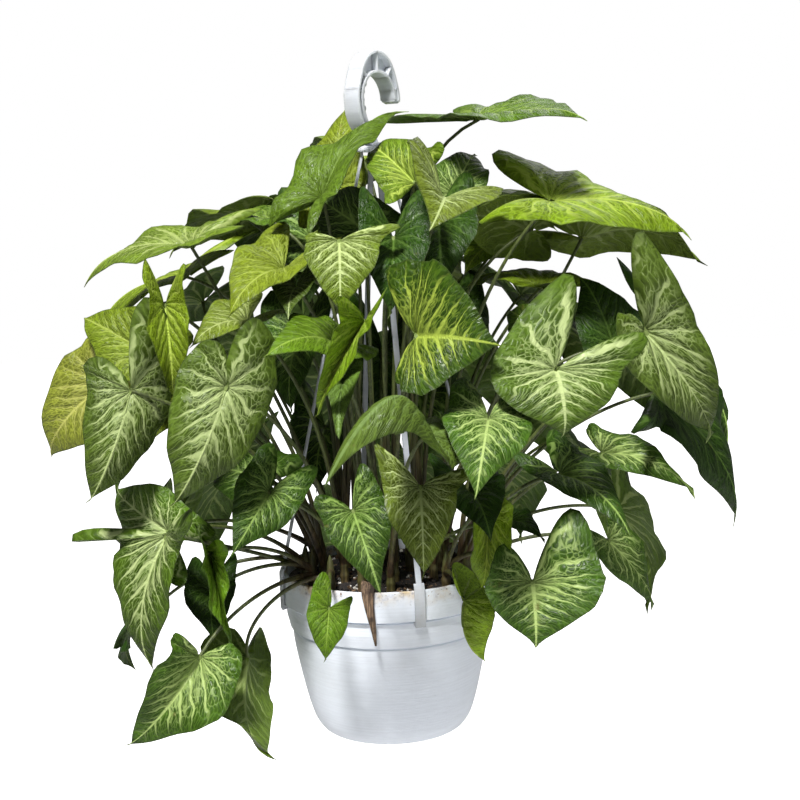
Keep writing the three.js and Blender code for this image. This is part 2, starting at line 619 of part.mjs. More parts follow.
const SHOOTS = [
  // ---- left
  shoot('shoot_left_far', [-62, -4], 'lime', [
    leaf([-250, -35, 340], [-315, -10, 265], [-200, -75, 360], [-240, -40, 405], { sway: -30 }),
    leaf([-205, -65, 370], [-270, -25, 400], [-185, -100, 340], [-160, -90, 385]),
  ]),
  shoot('shoot_left_front', [-60, -26], 'mid', [
    leaf([-210, -130, 345], [-250, -140, 250], [-200, -115, 425], [-245, -130, 370],
      { sway: 30, lobe: 0.9, wide: 0.8, sides: [[19, 14, -4], [-40, -4, 6]] }),
    leaf([-180, -115, 415], [-175, -125, 330], [-160, -135, 450], [-190, -135, 455], { lobe: 0.75 }),
    leaf([-200, -30, 325], [-230, -90, 270], [-160, -10, 355], [-210, 5, 365], { bow: 44 }),
  ]),
  shoot('shoot_top_left', [-40, 10], 'mid', [
    leaf([-165, -40, 460], [-270, -20, 430], [-115, -90, 475], [-105, -15, 495], { lobe: 0.65, bow: 5 }),
    leaf([-95, -10, 480], [-165, 35, 470], [-75, -60, 485], [-45, -15, 500],
      { wide: 0.8, bow: 52, sway: 40, lobe: 0.6 }),
    leaf([-80, -90, 440], [-125, -155, 405], [-30, -75, 465], [-80, -45, 480], { bow: 60, sway: 40 }),
  ]),
  shoot('shoot_left_centre', [-40, -42], 'mid', [
    leaf([-125, -165, 350], [-175, -180, 250], [-105, -140, 405], [-135, -165, 385],
      { lobe: 0.9, wide: 0.85, sides: [[28, 14, -8], [-43, -8, 14]] }),
    leaf([-110, -55, 250], [-165, -10, 250], [-95, -95, 235], [-70, -70, 270]),
    leaf([-100, -110, 250], [-130, -155, 205], [-60, -90, 265], [-100, -90, 290], { bow: 20, sway: 30 }),
    leaf([-115, -80, 395], [-160, -125, 380], [-75, -70, 405], [-105, -45, 420]),
  ]),
  // ---- trailing, lower left
  shoot('shoot_trailing', [-78, -20], 'mid', [
    leaf([-190, -110, 215], [-210, -115, 90], [-155, -175, 245], [-270, -95, 210],
      { bow: 5, sway: 20, lobe: 0.6, wide: 0.85 }),
    leaf([-190, -100, 215], [-245, -55, 250], [-175, -130, 175], [-145, -130, 220], { lobe: 0.7 }),
    leaf([-210, -30, 135], [-255, 35, 45], [-240, -110, 115], [-210, -25, 215]),
  ]),
  shoot('shoot_trailing_low', [-70, -44], 'mid', [
    leaf([-165, -125, 110], [-230, -150, 35], [-135, -125, 120], [-180, -160, 140],
      { wide: 1.15, lobe: 0.8 }),
    leaf([-155, -105, 195], [-140, -95, 95], [-135, -155, 215], [-160, -160, 230], { wide: 0.7 }),
    leaf([-160, -60, 150], [-155, -105, 115], [-140, -40, 180], [-180, -35, 175]),
  ]),
  shoot('shoot_rim_left', [-52, -64], 'deep', [
    leaf([-130, -70, 90], [-105, -160, 20], [-145, -50, 110], [-120, 5, 90],
      { wide: 0.85, bow: 60, sway: 12 }),
    leaf([-50, -145, 155], [-55, -160, 110], [-30, -150, 165], [-55, -140, 185]),
  ]),
  // ---- top
  shoot('shoot_hook', [-30, 14], 'mid', [
    leaf([-35, 25, 510], [-25, 60, 590], [-70, 5, 475], [-15, -10, 470], { wide: 0.75, bow: 52 }),
    leaf([-45, -70, 500], [30, -15, 580], [-95, -80, 480], [-60, -120, 475], { wide: 0.65, lobe: 0.6 }),
  ]),
  shoot('shoot_cream_small', [-22, -28], 'lime', [
    leaf([-30, -140, 465], [-30, -170, 405], [20, -150, 475], [-55, -150, 470], { wide: 1.3, bow: 36 }),
    leaf([-35, -110, 375], [-95, -175, 375], [-5, -105, 370], [-25, -85, 385]),
    leaf([-70, -90, 425], [-75, -135, 400], [-50, -70, 450], [-85, -65, 450]),
  ]),
  shoot('shoot_centre_left', [-10, -12], 'lime', [
    leaf([-10, -160, 400], [-55, -160, 320], [10, -210, 425], [-30, -205, 420], { bow: 52 }),
    leaf([-30, -125, 350], [-35, -175, 305], [-20, -115, 370], [-40, -115, 370],
      { wide: 0.6, bow: 12, sway: 12 }),
    leaf([-10, -25, 470], [-60, 15, 505], [5, -55, 435], [30, -55, 475]),
  ]),
  shoot('shoot_top_striped', [6, 8], 'mid', [
    leaf([35, -80, 510], [-5, -30, 545], [10, -115, 495], [60, -100, 540], { wide: 1.1 }),
    leaf([55, -60, 475], [55, -120, 415], [85, -35, 515], [30, -35, 510]),
    leaf([15, -115, 465], [10, -155, 400], [40, -100, 505], [-10, -105, 510], { bow: 20, sway: -12 }),
  ]),
  shoot('shoot_top_cream', [20, -14], 'lime', [
    leaf([55, -140, 495], [45, -220, 475], [105, -120, 505], [40, -100, 545],
      { wide: 1.5, bow: 12, sway: -20, lobe: 1 }),
    leaf([70, -35, 500], [95, 10, 540], [35, -60, 495], [75, -70, 475], { bow: 12 }),
  ]),
  shoot('shoot_top', [32, 16], 'deep', [
    leaf([95, -20, 565], [180, -115, 565], [80, 65, 580], [10, 0, 565],
      { arch: 0.05, bend: 0, bow: 60, lobe: 0.6 }),
    leaf([140, -10, 465], [70, -65, 475], [190, 5, 485], [160, 40, 435], { bow: 44, sway: -20 }),
  ]),
  // ---- right
  shoot('shoot_right_lime', [46, -6], 'lime', [
    leaf([155, -50, 490], [280, -75, 460], [115, 10, 530], [90, -105, 480], { bend: 0.02 }),
  ]),
  shoot('shoot_right_top', [54, 22], 'mid', [
    leaf([190, 15, 455], [315, 45, 430], [110, 40, 455], [135, -40, 495], { bow: 12, sway: -40 }),
    leaf([115, 80, 445], [80, 20, 425], [155, 100, 455], [110, 120, 470], { bow: 44 }),
    leaf([150, 10, 410], [80, 55, 415], [170, -40, 410], [205, 5, 415], { sway: -20 }),
  ]),
  shoot('shoot_right_big', [68, -20], 'mid', [
    leaf([225, -115, 380], [295, -80, 270], [220, -125, 470], [210, -125, 395],
      { wide: 0.62, lobe: 0.8, bow: 12, sway: -30, sides: [[33, -5, 10], [-18, -20, -13]] }),
    leaf([140, -100, 380], [115, -55, 395], [140, -130, 365], [160, -125, 395]),
  ]),
  shoot('shoot_right_back', [76, 4], 'deep', [
    leaf([275, 75, 345], [320, -15, 240], [315, 155, 365], [230, 75, 430], { wide: 0.7, lobe: 0.7 }),
    leaf([245, -40, 315], [330, -15, 185], [265, -25, 415], [215, -140, 295], { wide: 0.7, lobe: 0.65 }),
  ]),
  shoot('shoot_right_low', [72, -42], 'deep', [
    leaf([195, -60, 265], [275, -110, 235], [185, -40, 285], [165, -60, 270], { wide: 0.5, lobe: 0.7 }),
    leaf([200, -60, 185], [245, -50, 115], [200, -60, 215], [175, -75, 200], { wide: 0.55, lobe: 0.7 }),
    leaf([150, -125, 260], [200, -185, 220], [150, -90, 290], [110, -115, 280],
      { wide: 0.85, lobe: 0.75 }),
  ]),
  // ---- front
  shoot('shoot_hero_right', [42, -34], 'mid', [
    leaf([140, -200, 360], [145, -220, 305], [215, -185, 380], [155, -175, 435],
      { lobe: 0.95, wide: 1.5, sides: [[50, -5, -22], [-38, -8, 10]] }),
    leaf([210, -40, 360], [185, 0, 420], [200, -75, 325], [250, -65, 340], { bow: 44 }),
  ]),
  shoot('shoot_hero_centre', [6, -42], 'deep', [
    leaf([30, -200, 390], [95, -235, 385], [10, -190, 445], [15, -220, 355], { wide: 2, lobe: 1 }),
  ]),
  shoot('shoot_hero_lower', [28, -56], 'mid', [
    leaf([85, -215, 325], [70, -280, 275], [110, -190, 345], [65, -185, 355]),
    leaf([70, -155, 255], [85, -215, 225], [90, -120, 285], [40, -130, 280]),
    leaf([105, -110, 215], [135, -155, 210], [105, -90, 225], [85, -100, 220], { wide: 0.7 }),
  ]),
  shoot('shoot_front', [2, -72], 'deep', [
    leaf([35, -235, 315], [-40, -315, 295], [60, -220, 310], [40, -205, 320], { bend: 0.42, wide: 0.6 }),
    leaf([30, -205, 270], [30, -235, 200], [70, -215, 280], [-5, -205, 305]),
  ]),
  shoot('shoot_front_left', [-24, -62], 'deep', [
    leaf([-25, -195, 250], [-5, -225, 190], [-15, -185, 285], [-55, -200, 260]),
  ]),
  shoot('shoot_rim_right', [52, -66], 'mid', [
    leaf([85, -150, 235], [80, -130, 160], [100, -170, 250], [80, -170, 255]),
    leaf([65, -135, 155], [80, -155, 105], [95, -145, 155], [60, -120, 185], { wide: 1.4 }),
    leaf([120, -175, 180], [120, -200, 130], [160, -160, 235], [95, -170, 210],
      { bow: 36, sway: 12, lobe: 1, wide: 1.9 }),
  ]),
  // ---- rear and sides
  shoot('shoot_rear_right_low', [74, 30], 'mid', [
    rear(16, 235, 185, 120, 70, -10),
    rear(34, 215, 250, 125, 50, 12),
    rear(28, 240, 340, 130, 44, -8),
  ]),
  shoot('shoot_rear_right', [52, 52], 'deep', [
    rear(42, 190, 395, 120, 35, 10),
    rear(52, 235, 300, 130, 55, -12),
    rear(58, 220, 210, 115, 58, 8),
  ]),
  shoot('shoot_rear_right_top', [30, 44], 'lime', [
    rear(40, 120, 490, 125, 14, -10, { bow: 70, sway: 20 }),
    rear(76, 150, 430, 120, 34, 12),
    leaf([65, 100, 380], [65, 35, 310], [95, 135, 425], [30, 125, 435]),
  ]),
  shoot('shoot_rear_mid', [22, 74], 'mid', [
    rear(72, 215, 335, 130, 50, -10),
    rear(84, 205, 215, 120, 66, 12),
    rear(64, 170, 130, 105, 74, 0),
    leaf([35, 120, 300], [35, 55, 230], [65, 150, 340], [5, 140, 345], { bow: 44 }),
  ]),
  shoot('shoot_rear_top', [-4, 34], 'lime', [
    rear(96, 115, 535, 125, 14, 8, { bow: 44, sway: -12 }),
    rear(122, 170, 445, 120, 18, -12),
    leaf([0, 130, 345], [-5, 65, 270], [35, 155, 395], [-30, 155, 400], { bow: 52 }),
  ]),
  shoot('shoot_rear_left_mid', [-18, 72], 'deep', [
    rear(102, 225, 300, 130, 56, 10, { bow: 44, sway: -12 }),
    rear(112, 190, 390, 120, 38, -8, { sway: -30 }),
    rear(100, 185, 140, 110, 72, 10),
    leaf([-60, 110, 270], [-70, 55, 210], [-30, 125, 315], [-85, 135, 315]),
  ]),
  shoot('shoot_rear_left', [-46, 54], 'mid', [
    rear(128, 220, 345, 130, 46, 10, { bow: 12 }),
    rear(138, 215, 220, 120, 64, -10),
    rear(122, 185, 475, 110, 26, 6, { bow: 36 }),
    leaf([-75, 25, 370], [-85, -40, 305], [-45, 45, 420], [-105, 60, 415]),
  ]),
  shoot('shoot_rear_left_low', [-72, 28], 'mid', [
    rear(156, 235, 300, 125, 52, -12),
    rear(148, 210, 400, 120, 30, 8, { sway: 40 }),
    rear(165, 225, 180, 115, 66, 10),
  ]),
  shoot('shoot_side_left', [-40, 32], 'lime', [
    rear(166, 190, 430, 120, 30, -10, { bow: 44 }),
    rear(146, 150, 480, 115, 16, 12, { bow: 44 }),
    leaf([-60, 40, 460], [-70, -25, 390], [-25, 60, 510], [-90, 75, 510], { bow: 36, sway: -20 }),
  ]),
];

const roots = [...SHOOTS.map((grown) => grown.root), DRY_LEAF[0].slice(0, 2)];

const plant = new THREE.Group();
plant.add(pot(), soil(roots), hook());
['strap_front', 'strap_right', 'strap_back', 'strap_left'].forEach((name, i) => {
  plant.add(strap(name, STRAP_FIRST + i * 360 / STRAP_COUNT));
});
for (const grown of SHOOTS) {
  plant.add(grown.piece);
}
plant.add(mesh('dry_leaf', dryLeaf(), DRY));
plant.position.set(0, 0, -BEARING_Z);

export default plant;
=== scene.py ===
"""Arrowhead plant in a white hanging pot: the looks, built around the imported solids.

Sizes in the tables are millimetres, laid out from the middle of the pot's underside, as in the
part's own source. `row` moves them to the row's frame, in metres, whose origin is the hook's
bearing point.
"""

import math

import bpy
import numpy as np
from bpy.props import FloatProperty, FloatVectorProperty, IntProperty, PointerProperty
from mathutils import Matrix, Vector


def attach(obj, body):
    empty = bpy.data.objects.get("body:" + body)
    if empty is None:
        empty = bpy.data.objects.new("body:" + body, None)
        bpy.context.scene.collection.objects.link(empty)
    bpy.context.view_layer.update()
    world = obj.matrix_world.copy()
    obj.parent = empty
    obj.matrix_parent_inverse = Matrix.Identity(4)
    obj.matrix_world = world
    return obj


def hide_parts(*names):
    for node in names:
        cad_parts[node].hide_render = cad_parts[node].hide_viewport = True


bl_info = {
    "name": "Arrowhead plant in a hanging pot",
    "version": (1, 0, 0),
    "blender": (4, 5, 0),
    "location": "3D View > Sidebar > Arrowhead plant",
    "description": "Builds the leafy shoots, soil, ribbed pot, straps and hook of a hanging plant",
    "category": "Object",
}

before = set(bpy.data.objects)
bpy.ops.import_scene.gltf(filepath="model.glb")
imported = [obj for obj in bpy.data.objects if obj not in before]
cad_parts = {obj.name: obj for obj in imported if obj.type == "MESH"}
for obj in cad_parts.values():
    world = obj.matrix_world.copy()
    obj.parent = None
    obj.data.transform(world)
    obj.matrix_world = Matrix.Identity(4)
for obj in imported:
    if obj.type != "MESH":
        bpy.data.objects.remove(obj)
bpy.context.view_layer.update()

MM = 0.001
BEARING_Z = 610.0

# ------------------------------------------------------------------ the pot
POT_HEIGHT = 154.0
POT_FLOOR = 3.0
COLLAR_BOTTOM = 126.5
COLLAR_RADIUS = 102.0
# Half profiles, [radius, height]: the foot, the side, the band under the collar, the inner wall.
FOOT_SIDE = [(0, 1.2), (44, 1.2), (52, 0.9), (56, 0), (60, 0), (66.5, 1.2)]
BODY_SIDE = [(60, 0), (69, 3), (73.5, 9), (77, 17), (82.5, 37), (91.3, 80), (93.2, 100)]
BAND_SIDE = [(94.6, 101.5), (95.8, COLLAR_BOTTOM)]
INNER_SIDE = [(62, POT_FLOOR), (71.5, 10), (80.3, 37), (89.1, 80), (93.6, COLLAR_BOTTOM)]
# The collar's two edges, [outwards, upwards] from its lower and its upper outer corner.
COLLAR_FOOT = [(-0.7, 0), (-0.1, 0.4), (0, 1.5)]
COLLAR_LIP = [(-1.2, -1.5), (-1.35, -0.5), (-2, 0), (-4, 0), (-4.4, -0.4)]
COLLAR_INSIDE = (COLLAR_RADIUS - 4.8, COLLAR_BOTTOM + 3)
BAND_STAND = 0.5         # how far the seen band stands out at its lower edge
BAND_SWELL = 2.2         # how much more it stands out near the collar
# The grooves below the band and below the collar: height, depth.
BODY_GROOVE = (1.3, 1.3)
BAND_GROOVE = (2.0, 3.0)
# The fine ribs on the side, the band and the collar: from and to which height, how strong.
BODY_RIBS = (10, 97, 1.0)
BAND_RIBS = (104, 123, 0.8)
COLLAR_RIBS = (129, 152, 0.6)
# Points along each stretch of the pot's profile, and round it.
BODY_ROWS, BAND_ROWS, COLLAR_ROWS, INNER_ROWS = 190, 44, 50, 16
POT_SIDES = 144
DRAIN_RADIUS = 4.0
DRAIN_RING = 38.0
DRAIN_COUNT = 6
DRAIN_FIRST = 30.0       # degrees
BAR_SIDES = 20           # round a drain hole or a grip tooth

# ------------------------------------------------------------------ the soil, stems and stalks
SOIL_TOP = 145.0
SOIL_MOUND = 5.0
SOIL_RADIUS = 95.0
SOIL_GAP = (-0.6, 0.3)   # from the pot's inner wall to the soil, [outwards, upwards]
SOIL_RINGS = 56
SOIL_SIDES = 120
PERLITE_EVERY = 12       # one crumb in so many is a white grain
BARK_EVERY = 5           # and one in so many a bit of bark
BARK_SHAPE = (2.2, 0.8, 0.45)

STEM_RADIUS = 4.2
STEM_HEIGHT = 26.0
STEM_SUNK = 6.0          # how far the seen stem goes on below the soil's surface
STEM_JOINTS = (8.0, 18.0)
STEM_BUD = [(0.0, 3.0), (3.0, 2.3), (6.0, 1.4), (9.0, 0.3)]  # [above the stem, radius]
PETIOLE_BOTTOM = 2.1
PETIOLE_TOP = 1.5
PETIOLE_SHEATH = 1.1     # how much wider a stalk's foot is
STEEPEST = 86.0
STALK_STEPS = 22
STALK_SIDES = 9
STEM_STEPS = 16
STEM_SIDES = 12

# ------------------------------------------------------------------ the hook and straps
HOOK_TURN = 53.0
HOOK_CENTRE_Z = 587.0
HOOK_INNER_RADIUS = 23.0
HOOK_SIDE = 8.0
HOOK_CROWN = 20.0
HOOK_DEPTH = 17.0
HOOK_TOOTH = 3.0
HOOK_FLANGE = 2.4
HOOK_WEB = 3.0
HOOK_RIBS = (165, 130, 90, 55, 20)       # degrees round the crown
HOOK_TEETH = (146, 165, 184, 203)
HUB_BOTTOM = 540.0
HUB_TOP = 545.0
HUB_RADIUS = 17.0
# The hook's centre line below the crown and past it: [out, height, section height, its depth].
HOOK_SHANK = [
    (0, HUB_TOP - 3, HOOK_SIDE, 8), (-4, HUB_TOP + 4.5, HOOK_SIDE, 9), (-13, 556, HOOK_SIDE, 13),
    (-21.5, 565, HOOK_SIDE, HOOK_DEPTH), (-26, 576, HOOK_SIDE, HOOK_DEPTH),
]
HOOK_END = (26.2, 584.5, HOOK_SIDE - 2, HOOK_DEPTH - 3)
# Points along the shank, the crown and the end, and round the hub.
SHANK_ROWS, CROWN_ROWS, END_ROWS = 20, 33, 8
HUB_SIDES = 64
# Widths of the rounded edges, in millimetres, and how bright the plastics are beside the pot's. The
# straps' darkening is partly a greyer plastic and partly painted shade, for straps seen in the
# shade among the leaves.
HOOK_EDGE, DETAIL_EDGE, STRAP_EDGE = 0.7, 0.5, 0.35
HOOK_SHADE, STRAP_GREY_AND_PAINTED_SHADE = 0.74, 0.64

STRAP_COUNT = 4
STRAP_FIRST = -74.5
STRAP_THICK = 2.0
STRAP_WIDTH = 5.0
STRAP_HEAD_WIDTH = 9.0
STRAP_RING = 12.0
CLIP_WIDTH = 9.5
CLIP_BOTTOM = 121.5
CLIP_THICK = 2.2
CLIP_CLEAR = 0.4         # between the collar and the clip
STRAP_NAMES = ("strap_front", "strap_right", "strap_back", "strap_left")

# The withered sheath's centre line and half width: [x, y, z, half width].
SHEATH_LINE = [
    (-15, -82, 143, 2.2), (-15, -82.5, 149, 2.4), (-16, -86, 160, 4), (-17, -94, 165, 6),
    (-18, -101, 161, 6.2), (-18, -104.5, 150, 4.8), (-16.5, -105.5, 138, 3.6),
    (-14, -106, 124, 2.4), (-12.5, -106.5, 108, 0.8),
]
SHEATH_HALF_THICK = 0.35
SHEATH_ROWS, SHEATH_COLUMNS = 60, 15
SHEATH_CURL = 0.25       # share of its half width
SHEATH_CRUMPLE = 0.9

# ------------------------------------------------------------------ the stage
FLOOR_RADIUS = 12.0      # metres
FLOOR_RINGS = 39
FLOOR_SPOKES = 72
LAMP_AIM = (0, 0, -0.30)
# Each lamp's name, place and size in metres, the setting with its power, and its colour.
LAMPS = (
    ("key", (-0.45, -1.75, 2.2), 0.5, "key_power", (1.0, 0.99, 0.98)),
    ("fill", (1.9, -2.2, 0.6), 1.2, "fill_power", (0.93, 0.97, 1.0)),
    ("rear", (0.8, 2.4, 1.6), 1.6, "fill_power", (1.0, 1.0, 1.0)),
)
CAMERA_PLACE = (16, -1340, 503)
CAMERA_DOWN = 8.16       # degrees below the level
CAMERA_ROLL = 1.9
CAMERA_FOCUS = 1450      # focal length in pixels, in an image IMAGE_WIDTH wide
IMAGE_WIDTH = 800
SENSOR_WIDTH = 36.0

# ------------------------------------------------------------------ the leaves
# Half of a blade's outline, one unit long from the stalk to the tip: [along, out to the side].
HALF_OUTLINE = [
    (1, 0), (0.955, 0.010), (0.88, 0.040), (0.74, 0.135), (0.6, 0.235), (0.42, 0.345),
    (0.23, 0.42), (0.04, 0.455), (-0.16, 0.46), (-0.34, 0.445), (-0.48, 0.415), (-0.57, 0.372),
    (-0.595, 0.32), (-0.555, 0.25), (-0.47, 0.18), (-0.34, 0.115), (-0.2, 0.06), (-0.09, 0.022),
]
EAR = (-0.56, 0.36)
EAR_ANGLE = math.atan2(EAR[1], EAR[0])
EAR_REACH = math.hypot(*EAR)
HALF_COLUMNS = 33        # points round half of a blade's outline
RINGS = 24               # rows from the stalk to the outline
BLADE_GLOSS = {"leaf_deep": 0.36, "leaf_mid": 0.38, "leaf_lime": 0.40}
# Waves of a blade's surface: turns about the stalk, strength, power of the ring's share.
SURFACE_WAVES = ((2.1, 1.1, 2), (5.2, 1.0, 3), (11.0, 0.45, 4))
OUTLINE_WAVES = ((6.3, 0.016), (14.0, 0.009))     # turns about the stalk, strength


def leaf(look, base, tip, left, right, **shape):
    """A leaf's place and bend, as the solids have them: where the stalk meets the blade, the
    tip, the left and right ears, then how the blade arches and bends, how its tip curls down
    and how the stalk bows."""
    return {
        "look": look, "base": base, "tip": tip, "left": left, "right": right,
        "arch": 0.1, "bend": 0.06, "wide": 1.0, "lobe": 0.85, "bow": 28.0, "sway": 0.0,
        "curl": 0.05, "sides": None, **shape,
    }


def rear(look, azimuth, out, height, length, droop, roll, **shape):
    """A leaf of the rear: its base lies `out` from the axis at `height`, its axis leans away and
    down by `droop`, and its face is turned by `roll` about that axis. Its ears lie in its plane."""
    a, d, r = (math.radians(x) for x in (azimuth, droop, roll))
    away = np.array((math.cos(a), math.sin(a), 0.0))
    axis = away * math.cos(d) - np.array((0, 0, math.sin(d)))
    face = away * math.sin(d) + np.array((0, 0, math.cos(d)))
    face = face * math.cos(r) + np.cross(axis, face) * math.sin(r)
    base = away * out + np.array((0, 0, height))
    right = np.cross(axis, face) * length
    ears = [base + axis * length * EAR[0] + right * side * EAR[1] for side in (-1, 1)]
    return leaf(look, base, base + axis * length, ears[0], ears[1], **shape)


# Blade green, vein cream and how much of the cream there is, by the leaf's kind.
LOOKS = {
    "yellow": ((130, 144, 48), (186, 186, 104), 0.55),
    "striped": ((94, 117, 25), (171, 190, 84), 0.85),
    "yellowgreen": ((106, 123, 27), (162, 177, 83), 0.5),
    "grey": ((73, 93, 28), (175, 190, 128), 0.85),
    "pale": ((103, 122, 34), (177, 190, 120), 0.65),
    "lime": ((108, 133, 23), (175, 193, 87), 0.6),
    # partly the leaf's own yellow-green and partly painted light: brighter, to stand in for light
    # on a leaf that lies in shade
    "fresh_and_painted_light": ((134, 164, 38), (188, 206, 104), 0.55),
    "cream": ((89, 108, 28), (172, 187, 122), 1.0),
    "mid": ((72, 101, 21), (149, 173, 82), 0.5),
    "bright": ((84, 117, 21), (147, 173, 74), 0.35),
    "plain": ((78, 103, 24), (119, 144, 64), 0.2),
    "dark": ((46, 73, 15), (143, 170, 89), 0.8),
    "emerald": ((46, 70, 10), (150, 168, 66), 0.95),
    "deep": ((36, 61, 11), (95, 124, 52), 0.4),
    "olive": ((96, 112, 21), (139, 156, 66), 0.3),
    "sage": ((83, 107, 38), (128, 154, 90), 0.25),
    "veined": ((59, 88, 19), (171, 192, 115), 0.9),
    "hero": ((72, 98, 21), (180, 195, 133), 1.0),
}

